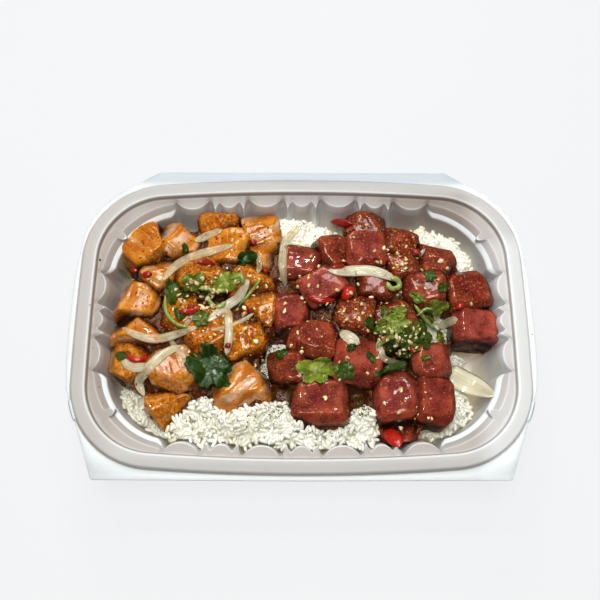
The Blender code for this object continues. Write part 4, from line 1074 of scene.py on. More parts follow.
# %% The pieces of fish
GROWTH = 1.45
WALL_GAP = 0.5
SEED_STEP = 1.37
tray_tree = joined_tree([tray])


def held_in(bm, centre):
    """Pulls what would stand through the tray back to its inner side, and counts the points it moves."""
    moved = 0
    for vert in bm.verts:
        way = vert.co - centre
        hit = tray_tree.ray_cast(centre, way.normalized(), way.length + WALL_GAP)[0]
        if hit is not None:
            vert.co = hit - way.normalized() * WALL_GAP
            moved += 1
    return moved


def fish_block(node, cuts):
    """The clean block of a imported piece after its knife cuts, with its centre and its planes."""
    centre, planes = flat_faces(node)
    planes = [(normal, offset + GROWTH) for normal, offset in planes]
    rng = random.Random(node)
    uncut = cut_down(centre, planes)
    plain = node in PLAIN_PIECES
    planes += knife_cuts(uncut, node, PLAIN_CUTS if plain else cuts, rng)
    planes = tilted(planes, centre, PLAIN_TILT if plain else MOST_TILT, rng)
    uncut.free()
    return even_skin(node, cut_down(centre, planes), SKIN_STEP), centre, planes


fish_pieces = []
pressed = {}
for kind, looks, cuts, flesh, finish in (("salmon", SALMON_LOOKS, SALMON_CUTS, SALMON_FLESH, salmon_finish),
                                         ("tuna", TUNA_LOOKS, TUNA_CUTS, TUNA_FLESH, tuna_finish)):
    for number, look in enumerate(looks, 1):
        node = f"{kind}_{number:02d}"
        block, centre, planes = fish_block(node, cuts)
        shape_flesh(block, flesh, look, planes, number * SEED_STEP)
        pressed[node] = held_in(block, centre)
        fish_pieces.append(finish_piece(f"{node}_flesh", block, finish, [node]))
print(len(fish_pieces), "pieces", sum(triangle_count(piece.data) for piece in fish_pieces), "triangles")
print("pressed against the tray", {node: count for node, count in pressed.items() if count})

# %% [markdown]
# ## Rice
# Cooked rice has a loose, criss-cross surface. Grains are dropped one by one on a height map, which is a
# grid of the heights seen from straight above. The map of the fish says two more things: which rice is
# covered and needs no grains, and, once its gaps are closed, how high the tops round each point stand.

# %% Height maps
MAP_STEP = 0.5
MAP_X, MAP_Y = 98.0, 64.0
ABOVE_ALL = 90.0
NOTHING = -50.0
xs = np.arange(-MAP_X, MAP_X, MAP_STEP)
ys = np.arange(-MAP_Y, MAP_Y, MAP_STEP)


def height_map(tree, every=2):
    """Heights seen from straight above on a grid of points, with NOTHING where there is none."""
    heights = np.full((len(xs), len(ys)), NOTHING)
    for i in range(0, len(xs), every):
        for j in range(0, len(ys), every):
            hit = tree.ray_cast(Vector((xs[i], ys[j], ABOVE_ALL)), Vector((0, 0, -1)))[0]
            if hit:
                heights[i:i + every, j:j + every] = hit.z
    return heights


def widened(grid, cells, widest=np.maximum):
    """Each value becomes the largest (or smallest) one within so many cells, in a rounded square."""
    out = grid.copy()
    for i in range(-cells, cells + 1):
        for j in range(-cells, cells + 1):
            if i * i + j * j <= cells * cells + 1:
                out = widest(out, np.roll(grid, (i, j), (0, 1)))
    return out


def narrowed(grid, cells):
    return widened(grid, cells, np.minimum)


def blurred(grid, cells):
    """Each value becomes the mean of a square that reaches so many cells to each side."""
    for axis in (0, 1):
        grid = sum(np.roll(grid, shift, axis) for shift in range(-cells, cells + 1)) / (2 * cells + 1)
    return grid


fish_tree = joined_tree(fish_pieces)
fish_top = height_map(fish_tree)
print("fish covers", round(float((fish_top > NOTHING).mean()), 2), "of the map")

# %% [markdown]
# Each point of the fish now learns how deep it lies between its neighbours, for the third number of its
# `mood`. The colours turn dark there, as painted shade.

# %% Depth between the pieces
FULL_DEPTH = 9.0
CROWD_CELLS = 9
BLUR_CELLS = 2


def sampled(grid, x, y):
    """The values of a map at points between its cells."""
    across, back = (x + MAP_X) / MAP_STEP, (y + MAP_Y) / MAP_STEP
    i = np.clip(across.astype(int), 0, len(xs) - 2)
    j = np.clip(back.astype(int), 0, len(ys) - 2)
    u, v = np.clip(across - i, 0, 1), np.clip(back - j, 0, 1)
    left = grid[i, j] * (1 - v) + grid[i, j + 1] * v
    right = grid[i + 1, j] * (1 - v) + grid[i + 1, j + 1] * v
    return left * (1 - u) + right * u


between = np.maximum(narrowed(widened(fish_top, CROWD_CELLS), CROWD_CELLS - 2), 0)
between = blurred(between, BLUR_CELLS)
for piece in fish_pieces:
    count = len(piece.data.vertices)
    places, moods = np.empty(count * 3, np.float32), np.empty(count * 3, np.float32)
    piece.data.vertices.foreach_get("co", places)
    piece.data.attributes["mood"].data.foreach_get("vector", moods)
    places, moods = places.reshape(-1, 3) / MM, moods.reshape(-1, 3)
    depths = sampled(between, places[:, 0], places[:, 1]) - places[:, 2]
    moods[:, 2] = np.clip(depths / FULL_DEPTH, 0, 1)
    piece.data.attributes["mood"].data.foreach_set("vector", moods.ravel())
print("tops round the fish stand up to", round(float(between.max()), 1), "mm high")

# %% [markdown]
# Cooked grains are long, plump and blunt, and slightly bent. They are off-white and let light in. The
# dressing has run into some of them and made them yellow. A weak painted glow stands for the light that
# passes from grain to grain; it is stronger and cooler at the back, as painted light where the back wall
# shades the rice.

# %% Rice finish
rice_finish = Finish("cooked_rice", Subsurface_Weight=0.45, Subsurface_Scale=0.0012, Coat_Weight=0.25,
                     Coat_Roughness=0.15, Emission_Strength=1.0, Subsurface_Radius=(1.0, 0.9, 0.7))
rice_place = rice_finish.place()
rice_back = rice_finish.parts(rice_place)[1]
rice_patch = rice_finish.noise(rice_place, 14.0, detail=2.0)
rice_base = rice_finish.mix(rice_finish.attribute("tone"), (0.66, 0.66, 0.57), (0.85, 0.86, 0.82))
rice_finish.colour(rice_finish.mix(rice_patch.above(0.6, 0.14) * 0.25, rice_base, (0.70, 0.58, 0.30)))
rice_glow = rice_finish.mix(rice_back.above(30.0, 8.0), (0.120, 0.113, 0.082), (0.25, 0.24, 0.195))
rice_finish.vary("Emission Color", rice_glow)
rice_finish.rough(rice_patch * 0.2 + 0.32)
rice_finish.bump(rice_finish.noise(rice_place, 0.7, detail=2.0), 0.08)
print("rice finish has", len(rice_finish.tree.nodes), "nodes")

# %% [markdown]
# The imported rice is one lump. A softened copy of it is the core, on which the grains lie.

# %% The core of the rice
CORE_STEP = 1.7
CORE_DEPTH = 0.1


def toned(bm, tone):
    """Gives all points of a mesh one tone."""
    layer = bm.verts.layers.float.new("tone")
    for vert in bm.verts:
        vert[layer] = tone


rice_bm = packed_points("rice")
rice_top = height_map(BVHTree.FromBMesh(rice_bm))
core = even_skin("rice_core", rice_bm, CORE_STEP)
soften(core, 4)
core.normal_update()
for vert, normal in [(vert, vert.normal.copy()) for vert in core.verts]:
    vert.co -= normal * CORE_DEPTH
# The core gets the lowest tone: painted shade below the grains
toned(core, 0.0)
core_top = height_map(BVHTree.FromBMesh(core))
core_piece = finish_piece("rice_core", core, rice_finish, ["rice"])
print("core", triangle_count(core_piece.data), "triangles")

# %% [markdown]
# The rice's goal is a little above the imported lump, and uneven. Between pieces of fish there is dressing
# instead, but for a few places. The lists hold what the picture shows.

# %% Where the rice lies
EDGE_CELLS = 9
GOAL_RISE = 0.9
MOUND_SIZE, MOUND_RISE = 7.5, 3.2
GRAIN_ROOM = 0.8
ENCLOSED_REACH, ENCLOSED_BACK = 80, 51
ENCLOSED_CELLS, INNER_CELLS = 12, 3
# Where the rice stands higher against the fish: x, y, reach, rise
RICE_HEAPS = [(-30, -45, 12, 5.0), (-20, -41, 9, 3.0), (-62, -56, 12, 3.0), (5, -55, 20, 2.5),
              (-42, -42, 8, 3.0), (30, -44, 8, 2.0), (76, -46, 8, 3.0)]
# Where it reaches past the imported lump: x, y, reach, height of its top
RICE_BANKS = [(74, -13, 10, 15)]
# Where it shows between pieces of fish: x, y, half width, half depth
RICE_SHOWS = [(-12, -21, 9, 11), (-70, -52, 60, 9), (0, 52, 14, 12), (-14, 46, 5, 12), (16, 47, 6, 6)]


def distance_from(x, y):
    return np.hypot(xs[:, None] - x, ys[None, :] - y)


tray_top = height_map(tray_tree)
ground = np.maximum(core_top, tray_top)
mounds = np.array([[noise.noise(Vector((x / MOUND_SIZE, y / MOUND_SIZE, 4.2))) for y in ys] for x in xs])
goal = widened(rice_top, EDGE_CELLS) + GOAL_RISE + MOUND_RISE * mounds
for x, y, reach, rise in RICE_HEAPS:
    goal += rise * np.clip(1 - (distance_from(x, y) / reach) ** 2, 0, 1)
for x, y, reach, top in RICE_BANKS:
    goal = np.maximum(goal, top * np.clip(1 - (distance_from(x, y) / reach) ** 3, 0, 1))

covered = (fish_top > NOTHING).astype(float)
enclosed = narrowed(widened(covered, ENCLOSED_CELLS), ENCLOSED_CELLS) > 0.5
enclosed &= (np.abs(xs[:, None]) < ENCLOSED_REACH) & (ys[None, :] < ENCLOSED_BACK)
inner = narrowed(covered, INNER_CELLS) > 0.5
shows = np.zeros_like(enclosed)
for x, y, half_width, half_depth in RICE_SHOWS:
    shows |= (np.abs(xs[:, None] - x) < half_width) & (np.abs(ys[None, :] - y) < half_depth)
allowed = (goal > ground + GRAIN_ROOM) & ~inner & (~enclosed | shows)
print("grains may lie on", round(float(allowed.mean()), 2), "of the map")

# %% [markdown]
# Thousands of small shapes join in one mesh. A heap collects them a hundred at a time, because each mesh
# operator takes longer in a larger mesh.

# %% Helper for many small shapes
HEAP_STEP = 100


class Heap:
    """Collects small shapes that share one named layer, and joins them at the end."""

    def __init__(self, layer_kind, layer_name):
        self.layer_kind, self.layer_name = layer_kind, layer_name
        self.meshes, self.count = [], 0
        self.start()

    def start(self):
        self.bm = bmesh.new()
        self.layer = getattr(self.bm.verts.layers, self.layer_kind).new(self.layer_name)

    def store(self):
        mesh = bpy.data.meshes.new("heap")
        self.bm.to_mesh(mesh)
        self.bm.free()
        self.meshes.append(mesh)

    def sphere(self, segments):
        """The points of a new small sphere, to be moved to a shape."""
        if self.count and self.count % HEAP_STEP == 0:
            self.store()
            self.start()
        self.count += 1
        return bmesh.ops.create_uvsphere(self.bm, u_segments=segments[0], v_segments=segments[1],
                                         radius=1.0)["verts"]

    def joined(self):
        self.store()
        bm = bmesh.new()
        for mesh in self.meshes:
            bm.from_mesh(mesh)
            bpy.data.meshes.remove(mesh)
        return bm


# %% [markdown]
# A grain comes to rest where it first touches the highest point under it, and the map rises there by the
# grain's own thickness, so the next one lies on it, across it or beside it.

# %% Dropping the grains
GRAIN_LENGTH, GRAIN_WIDTH = 4.5, 2.0
GRAIN_FLATNESS = 2.3
GRAIN_LIMIT = 6500
GRAIN_SINK = 0.85
TOO_HIGH = 1.6
BATCH = 260
MOST_MISSES = 60


def add_grain(heap, place, along, length, width, bend, tone):
    """A blunt spindle of a few dozen faces, slightly bent."""
    side = Vector((0, 0, 1)).cross(along).normalized()
    turn = Matrix((along, side, along.cross(side))).transposed()
    for vert in heap.sphere((5, 4)):
        lengthwise = vert.co.z
        blunt = 1.12 if 0.1 < abs(lengthwise) < 0.99 else 1.0
        point = Vector((lengthwise * length / 2, vert.co.x * blunt * width / 2,
                        vert.co.y * blunt * width / GRAIN_FLATNESS))
        point.z -= bend * lengthwise * lengthwise
        vert.co = turn @ point + place
        vert[heap.layer] = tone


def drop_grains(start, goal, allowed, limit, seed):
    """Drops grains on a height map until it reaches the goal. Returns them and the raised map."""
    rng = np.random.default_rng(seed)
    heights = start.copy()
    reach = int(GRAIN_LENGTH / 2 / MAP_STEP) + 2
    offsets = np.arange(-reach, reach + 1) * MAP_STEP
    dx, dy = np.meshgrid(offsets, offsets, indexing="ij")
    grains, misses = [], 0
    while len(grains) < limit and misses < MOST_MISSES:
        open_cells = np.argwhere(allowed & (heights < goal))
        if not len(open_cells):
            break
        before = len(grains)
        for i, j in open_cells[rng.choice(len(open_cells), min(BATCH, len(open_cells)), replace=False)]:
            if heights[i, j] >= goal[i, j] or len(grains) >= limit:
                continue
            if not (reach <= i < heights.shape[0] - reach and reach <= j < heights.shape[1] - reach):
                continue
            yaw, slope = rng.uniform(0, math.pi), rng.normal(0, 0.42)
            length, width = GRAIN_LENGTH * rng.uniform(0.85, 1.12), GRAIN_WIDTH * rng.uniform(0.88, 1.1)
            u = dx * math.cos(yaw) + dy * math.sin(yaw)
            v = -dx * math.sin(yaw) + dy * math.cos(yaw)
            inside = (u / (length / 2)) ** 2 + (v / (width / 2)) ** 2
            under = inside < 1
            half = np.sqrt(np.clip(1 - inside, 0, 1)) * width / GRAIN_FLATNESS
            patch = heights[i - reach:i + reach + 1, j - reach:j + reach + 1]
            rest = (patch - slope * u + half * 0.7)[under].max() - GRAIN_SINK
            if rest > goal[i, j] + TOO_HIGH:
                continue
            patch[under] = np.maximum(patch, rest + slope * u + half)[under]
            along = Vector((math.cos(yaw), math.sin(yaw), slope)).normalized()
            grains.append((Vector((i * MAP_STEP - MAP_X, j * MAP_STEP - MAP_Y, rest)), along, length, width))
        misses = misses + 1 if len(grains) == before else 0
    return grains, heights


grains, grain_top = drop_grains(ground, goal, allowed, GRAIN_LIMIT, 11)
rng = random.Random(5)
grain_heap = Heap("float", "tone")
for place, along, length, width in grains:
    add_grain(grain_heap, place, along, length, width, rng.uniform(-0.1, 0.45), rng.uniform(0.3, 1.0))
rice_grains = finish_piece("rice_grains", grain_heap.joined(), rice_finish, ["rice"])
print(len(grains), "grains,", triangle_count(rice_grains.data), "triangles")

# %% [markdown]
# Soft cooked rice sticks together, so no deep gaps show between the grains. A bed a little below their tops
# fills them. It is a grid that takes its heights from the height map, and so is the dressing further below.

# %% The bed between the grains
BED_DEPTH = 0.45
BED_BLUR = 2
BED_THICK = 0.6
SHEET_CELLS = 2


def height_sheet(heights, wanted):
    """A grid laid on a height map where it is wanted."""
    step = MAP_STEP * SHEET_CELLS
    columns, rows = len(xs) // SHEET_CELLS, len(ys) // SHEET_CELLS
    bm = bmesh.new()
    centre = Matrix.Translation(((columns - 1) * step / 2 - MAP_X, (rows - 1) * step / 2 - MAP_Y, 0))
    scaling = Matrix.Diagonal(((columns - 1) * step / 2, (rows - 1) * step / 2, 1, 1))
    bmesh.ops.create_grid(bm, x_segments=columns - 1, y_segments=rows - 1, size=1.0, matrix=centre @ scaling)
    outside = []
    for vert in bm.verts:
        i = min(int(round((vert.co.x + MAP_X) / MAP_STEP)), len(xs) - 1)
        j = min(int(round((vert.co.y + MAP_Y) / MAP_STEP)), len(ys) - 1)
        if not wanted[i, j]:
            outside.append(vert)
        vert.co.z = heights[i, j]
    bmesh.ops.delete(bm, geom=outside, context="VERTS")
    return bm


bed = np.minimum(blurred(grain_top, BED_BLUR), grain_top) - BED_DEPTH
bed_bm = height_sheet(bed, allowed & (narrowed(grain_top - ground, 2) > BED_DEPTH + 0.3))
toned(bed_bm, 0.5)
soften(bed_bm, 1)
rice_bed = finish_piece("rice_bed", bed_bm, rice_finish, ["rice"])
thickened(rice_bed, BED_THICK)
print("bed", triangle_count(rice_bed.data), "triangles on its upper side")

# %% [markdown]
# ## Dressing between the pieces
# Minced chilli, seeds and oil have run down between the pieces of fish. A sheet closes the gaps a few
# millimetres below their tops. It is found on the height map: closing the map shows where a gap is. Its
# near-black brown is partly the dressing's own colour and partly painted shade for the deep gaps.

# %% The dressing
DRESSING_DEPTH = 3.2
DRESSING_GAP = 4.2
DRESSING_REACH = 8
DRESSING_THICK = 0.8

dressing_and_shade_finish = Finish("dressing_and_gap_shade", Subsurface_Weight=0.1, Subsurface_Scale=0.0015, Coat_Weight=0.15,
                         Coat_Roughness=0.08)
dressing_place = dressing_and_shade_finish.place()
dressing_cloud = dressing_and_shade_finish.noise(dressing_place, 4.0, detail=4.0, roughness=0.65)
dressing_grain = dressing_and_shade_finish.noise(dressing_place, 1.1, detail=3.0)
dressing_seed = 1.0 - dressing_and_shade_finish.cells(dressing_place, 1.5)
# From near black to brown: the dressing's own colour, made dark as painted shade in the deep gaps
dressing_and_shade_colour = dressing_and_shade_finish.mix(dressing_cloud.above(0.5, 0.2), (0.045, 0.010, 0.002),
                                    (0.18, 0.055, 0.007))
dressing_and_shade_colour = dressing_and_shade_finish.mix(dressing_grain.above(0.62, 0.05), dressing_and_shade_colour, (0.24, 0.026, 0.006))
dressing_and_shade_colour = dressing_and_shade_finish.mix(dressing_seed.above(0.80, 0.05) * 0.6, dressing_and_shade_colour, (0.50, 0.28, 0.06))
dressing_and_shade_finish.colour(dressing_and_shade_colour)
dressing_and_shade_finish.rough(dressing_cloud * 0.3 + 0.2)
dressing_and_shade_finish.bump(dressing_grain + dressing_seed * 0.8, 0.35)

carried_top = np.maximum(fish_top, grain_top)
closed_top = narrowed(widened(np.maximum(carried_top, 0), DRESSING_REACH), DRESSING_REACH)
on_rice = carried_top > fish_top + 0.1
gap = ((closed_top - carried_top > DRESSING_GAP) | on_rice) & enclosed & ~shows
near_gap = (widened(gap.astype(float), 3) > 0.5) & enclosed
dressing_bm = height_sheet(np.maximum(closed_top - DRESSING_DEPTH, ground + 0.5), near_gap)
for vert in dressing_bm.verts:
    flat = Vector((vert.co.x, vert.co.y, 0))
    vert.co.z += noise.noise(flat / 1.6) * 0.9 + noise.noise(flat / 4.5) * 1.3
soften(dressing_bm, 1)
dressing = finish_piece("dressing_fill", dressing_bm, dressing_and_shade_finish)
thickened(dressing, DRESSING_THICK)
print("dressing", triangle_count(dressing.data), "triangles on its upper side")

# %% [markdown]
# ## Toppings
# Where a topping lies in the picture was read from the photograph, as a point on a plane a little below the
# rim. The camera's line of sight through that point, followed on to the fish or rice, gives its real place.

# %% Lines of sight
READ_HEIGHT = 34.0
LOWEST_PLACE = 10.0
EYE = camera.matrix_world.translation / MM


def sight_line(x, y):
    """The direction in which the camera sees the point (x, y) of the reading plane."""
    return (Vector((x, y, READ_HEIGHT)) - EYE).normalized()


def at_height(x, y, z):
    """The point at a height that the camera sees there."""
    direction = sight_line(x, y)
    return EYE + direction * ((z - EYE.z) / direction.z)


def seen(tree, x, y):
    """The point and normal that the camera sees there."""
    hit, normal = tree.ray_cast(EYE, sight_line(x, y))[:2]
    return (hit, normal) if hit else (at_height(x, y, LOWEST_PLACE), Vector((0, 0, 1)))


def smooth_path(points, step):
    """Evenly spaced points on a smooth curve through the given ones."""
    points = [np.array(point, float) for point in points]
    control = [2 * points[0] - points[1], *points, 2 * points[-1] - points[-2]]
    fine = []
    for a, b, c, d in zip(control, control[1:], control[2:], control[3:]):
        for t in np.arange(0, 1, 0.1):
            fine.append(0.5 * (2 * b + (c - a) * t + (2 * a - 5 * b + 4 * c - d) * t**2
                               + (3 * b - a - 3 * c + d) * t**3))
    fine = np.array(fine + [points[-1]])
    along = np.r_[0, np.cumsum(np.linalg.norm(np.diff(fine, axis=0), axis=1))]
    places = np.linspace(0, along[-1], max(int(along[-1] / step), 4))
    return [(float(np.interp(s, along, fine[:, 0])), float(np.interp(s, along, fine[:, 1]))) for s in places]


def draped(tree, path, half_width, lift, stiffness):
    """Lays a path on what is below it. A stiff one bridges hollows."""
    heights = []
    for k, (x, y) in enumerate(path):
        (x0, y0), (x1, y1) = path[max(k - 1, 0)], path[min(k + 1, len(path) - 1)]
        length = math.hypot(x1 - x0, y1 - y0) or 1.0
        side = Vector((-(y1 - y0), x1 - x0)) / length * half_width * 0.8
        heights.append(max(seen(tree, x + side.x * s, y + side.y * s)[0].z for s in (-1, 0, 1)))
    for _ in range(stiffness):
        lifted = [max(b, (a + c) / 2) for a, b, c in zip(heights, heights[1:], heights[2:])]
        heights = [heights[0], *lifted, heights[-1]]
    for _ in range(2):
        eased = [(a + 2 * b + c) / 4 for a, b, c in zip(heights, heights[1:], heights[2:])]
        heights = [heights[0], *eased, heights[-1]]
    return [at_height(x, y, z + lift) for (x, y), z in zip(path, heights)]


print("camera's eye at", [round(v, 1) for v in EYE])

# %% [markdown]
# A strip is a flattened tube along its path: a ring that is extruded from station to station, narrower
# towards both ends and bowed across its width. Onion strips, stems and slices of chilli are all strips. Its
# points, in the reading plane, come with its width, thickness and tone, and for some also with how pointed
# its ends are, how far it bows, how stiffly it bridges hollows, and whether its near end is cut off blunt.

# %% Strips
Strip = namedtuple("Strip", "name points width thick tone point bow stiff blunt", defaults=(2.8, 0.4, 8, 0))
STRIP_STEP = 1.3
STRIP_SIDES = 10
STRIP_ANGLES = [2 * math.pi * n / STRIP_SIDES for n in range(STRIP_SIDES)]


def strip_ring(strip, place, along, taper):
    """The points of a strip's cross-section at one place on its path."""
    side = along.cross(Vector((0, 0, 1))).normalized()
    up = side.cross(along)
    points = []
    for angle in STRIP_ANGLES:
        across = math.cos(angle)
        u = across * strip.width / 2 * taper * (1 + 0.06 * noise.noise(place * 0.5))
        v = math.sin(angle) * strip.thick / 2 * taper**0.5 - strip.bow * (across * taper) ** 2
        points.append(place + side * u + up * v)
    return points


def add_strip(bm, tree, strip):
    grain = bm.verts.layers.float_vector.new("grain")
    path = smooth_path(strip.points, STRIP_STEP)
    centres = draped(tree, path, strip.width / 2, strip.thick * 0.4, strip.stiff)
    ring, last = None, len(centres) - 1
    for k, place in enumerate(centres):
        along = (centres[min(k + 1, last)] - centres[max(k - 1, 0)]).normalized()
        share = max(2 * k / last - 1, 0) if strip.blunt else abs(2 * k / last - 1)
        points = strip_ring(strip, place, along, max((1 - share**strip.point) ** 0.55, 0.06))
        if ring is None:
            ring = bmesh.ops.create_circle(bm, cap_ends=True, segments=STRIP_SIDES, radius=1.0)["verts"]
            for vert, point in zip(ring, points):
                vert.co = point
        else:
            ring = extruded_ring(bm, ring, points)
        for angle, vert in zip(STRIP_ANGLES, ring):
            vert[grain] = (k * STRIP_STEP, math.cos(angle) * strip.width / 2, strip.tone)
    bmesh.ops.contextual_create(bm, geom=ring)


def numbered(kind, prefix, rows):
    """A strip or leaf of each row, named in order."""
    return [kind(f"{prefix}_{number:02d}", *row) for number, row in enumerate(rows, 1)]


def finish_topping(name, ending, bm, finish):
    """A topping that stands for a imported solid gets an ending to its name, and any other keeps its own."""
    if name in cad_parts:
        return finish_piece(f"{name}_{ending}", bm, finish, [name])
    return finish_piece(name, bm, finish)


print("a strip has", STRIP_SIDES, "sides and a ring every", STRIP_STEP, "mm")

# %% [markdown]
# Sliced onion is nearly clear between its fine lengthwise veins, so what lies below shows through. Its
# edges and veins are whiter, and the dressing clings to it in brown films and specks. The higher a strip's
# tone, the whiter and less clear it is.

# %% Onion finish and strips
onion_finish = Finish("sliced_onion", Subsurface_Weight=0.3, Subsurface_Scale=0.002, Coat_Roughness=0.06,
                      Subsurface_Radius=(1.0, 0.8, 0.45))
onion_place = onion_finish.place()
onion_grain = onion_finish.attribute("grain", 1)
_, onion_across, onion_tone = onion_finish.parts(onion_grain)
onion_streak = onion_finish.noise(onion_finish.stretched(onion_grain, (0.08, 1.9, 5.0)), 1.0, detail=2.0)
onion_side = onion_finish.math("ABSOLUTE", onion_across).above(2.2, 0.9)
onion_film = onion_finish.noise(onion_place, 3.0, detail=3.0).above(0.58, 0.08)
onion_fleck = onion_finish.noise(onion_place, 0.6, detail=1.0).above(0.74, 0.03)
onion_base = onion_finish.mix(onion_tone, (0.90, 0.78, 0.44), (0.90, 0.84, 0.64))
onion_base = onion_finish.mix(onion_streak.above(0.55, 0.12) * 0.4, onion_base, (0.93, 0.86, 0.62))
onion_base = onion_finish.mix((1.25 - onion_tone) * onion_film * 0.5, onion_base, (0.50, 0.24, 0.05))
onion_finish.colour(onion_finish.mix(onion_fleck * 0.8, onion_base, (0.20, 0.07, 0.012)))
onion_veins = onion_streak.above(0.5, 0.14)
onion_finish.vary("Alpha", onion_side * 0.26 + onion_veins * 0.12 + onion_tone * 0.4 + 0.1)
onion_finish.rough(onion_streak * 0.15 + 0.2)
onion_finish.vary("Coat Weight", onion_film * 0.3 + 0.6)
onion_finish.bump(onion_streak * 0.4 + onion_finish.noise(onion_place, 1.6), 0.07)

# The first ones stand for packed strips, and the thin ones aren't packed.
ONIONS = numbered(Strip, "onion", [
    ([(-69, 21), (-63, 29), (-55, 34), (-45, 37.5), (-34, 40.5)], 5.0, 0.8, 0.5),
    ([(-54, 42.5), (-48, 45.5), (-40, 49)], 4.6, 0.8, 0.45),
    ([(0, 51), (-7, 45), (-8.5, 41), (-9.5, 30), (-8, 18)], 4.6, 0.9, 0.6),
    ([(-87, -3), (-79, -7), (-68, -8.5), (-50, -2.5)], 4.6, 0.8, 0.6),
    ([(-58, -12), (-67, -17), (-74, -25), (-77, -30), (-74, -37)], 5.4, 0.8, 0.75),
    ([(-37, 10), (-35, -4), (-36, -17)], 4.6, 0.8, 0.75),
    ([(-26, 22), (-31, 13), (-37, 8), (-46, 0)], 5.2, 0.8, 0.9),
    ([(13, 27), (20, 26.5), (30, 27), (36, 26.5), (43, 24), (46.5, 21.5)], 6.0, 1.2, 1.1),
    ([(67, -24.5), (75, -28.5), (83, -32.8), (90.5, -36.8)], 11.5, 1.0, 1.25, 1.7, 0.2, 30, 1),
])
ONIONS += numbered(Strip, "onion_thin", [
    ([(-44, -4.5), (-33, -1.5), (-23, 4.5)], 2.6, 0.9, 0.55),
    ([(-2, 52), (-6, 47), (-8, 42)], 2.2, 0.9, 0.6),
    ([(66, -3), (71, 0), (76, 1.5)], 5.0, 1.0, 0.5),
    ([(37, -9), (37.5, -14), (40, -18.5), (47, -20.5)], 4.2, 1.6, 0.9),
    ([(19, -4), (23, -8), (28, -11)], 6.4, 1.0, 1.0),
    ([(-86, -19), (-80, -23), (-73, -22)], 5.0, 1.0, 0.9),
    ([(58.5, 34.5), (62, 39)], 2.4, 1.1, 0.9),
    ([(-64, -8), (-60, -14), (-55, -19)], 3.4, 0.9, 0.45),
    ([(-57, -3), (-54, 2), (-50, 4)], 3.0, 0.9, 0.5),
    ([(-22, 36), (-21, 30), (-22, 25)], 3.0, 0.9, 0.3),
])

# %% [markdown]
# Herb leaves are thin sheets with lobed and toothed edges, ruffled, with pale veins. Each starts as a grid,
# is pulled to its outline and laid over what carries it.

# %% Leaves
Leaf = namedtuple("Leaf", "name x y length width turn lobes tone lift fold")
LEAVES = numbered(Leaf, "leaf", [
    (-43, -22, 28, 22, -50, 5, 0.0, 0.9, 2.0),
    (7, -25, 22, 15, 6, 5, 1.25, 0.8, 0.5),
    (46, -1, 18, 12, 8, 5, 0.85, 1.4, 1.0),
    (66, 7, 13, 9, 20, 4, 0.75, 1.2, 0.8),
    (20, -25, 12, 11, -30, 4, 0.2, 0.8, 0.8),
])
LEAVES += numbered(Leaf, "leaf_small", [
    (-38, 21, 19, 12, 15, 3, 0.95, 1.1, 1.2),
    (-64, 15, 16, 8, 100, 4, 0.2, 1.0, 1.6),
    (-49, 1, 10, 9, 50, 4, 0.4, 1.4, 1.0),
    (-28, 34, 12, 9, 20, 3, 0.0, 0.8, 1.6),
    (-58, 38, 8, 4, 100, 2, 0.1, 0.8, 0.6),
    (64, 24, 7, 7, 0, 5, 0.2, 0.8, 0.8),
    (70, 18, 7, 6, 40, 4, 0.2, 0.8, 0.6),
    (41, -24, 19, 4.5, 22, 2, 0.1, 0.8, 0.8),
    (52, -9, 15, 12, -50, 5, 0.2, 0.9, 0.8),
    (59, -18, 5, 4, 10, 3, 0.5, 0.7, 0.5),
    (33, -17, 7, 4, -60, 2, 0.15, 0.7, 0.5),
    (-10, -16, 7, 5, 30, 3, 0.05, 0.7, 0.5),
    (-86, -17, 8, 5, 20, 3, 0.15, 0.7, 0.6),
    (67, -7, 8, 4, 100, 3, 0.8, 0.9, 0.5),
    (24, -13, 6, 4, 20, 3, 0.1, 0.7, 0.5),
    (41, 4, 9, 6, 120, 3, 0.35, 1.0, 0.8),
    (-48, 13, 6, 5, 60, 3, 0.6, 0.8, 0.8),
    (-57, 14, 6, 4, 140, 3, 0.2, 0.8, 0.8),
    (59, -7, 14, 9, 100, 4, 0.15, 0.9, 1.0),
    (33, -1, 8, 5, -60, 3, 0.1, 0.8, 0.8),
    (57, 12, 10, 6, -30, 4, 0.75, 1.0, 0.8),
    (61, 3, 10, 8, -60, 4, 0.5, 1.2, 0.8),
    (43, -12, 10, 7, 70, 4, 0.1, 0.8, 0.8),
    (-54, 20, 14, 11, 40, 4, 0.7, 0.9, 1.0),
    (-60, 4, 8, 5, 130, 3, 0.2, 0.8, 1.0),
    (-45, 13, 9, 6, -20, 3, 0.35, 0.8, 0.8),
    (50, -15, 10, 7, 20, 4, 0.2, 0.8, 0.8),
    (38, -3, 9, 7, 30, 4, 0.6, 1.3, 0.8),
    (48, 5, 9, 7, -20, 4, 0.9, 1.5, 0.8),
    (55, -3, 9, 6, 60, 3, 0.6, 1.3, 0.8),
    (44, -7, 9, 7, 110, 4, 0.15, 1.2, 0.8),
])
print(len(LEAVES), "leaves")

# %% [markdown]
# A leaf's colour runs from a dark to a yellowish green by its tone, in soft patches. The veins are paler and
# lie in fine grooves, one along the middle of each lobe. Wet spots shine.

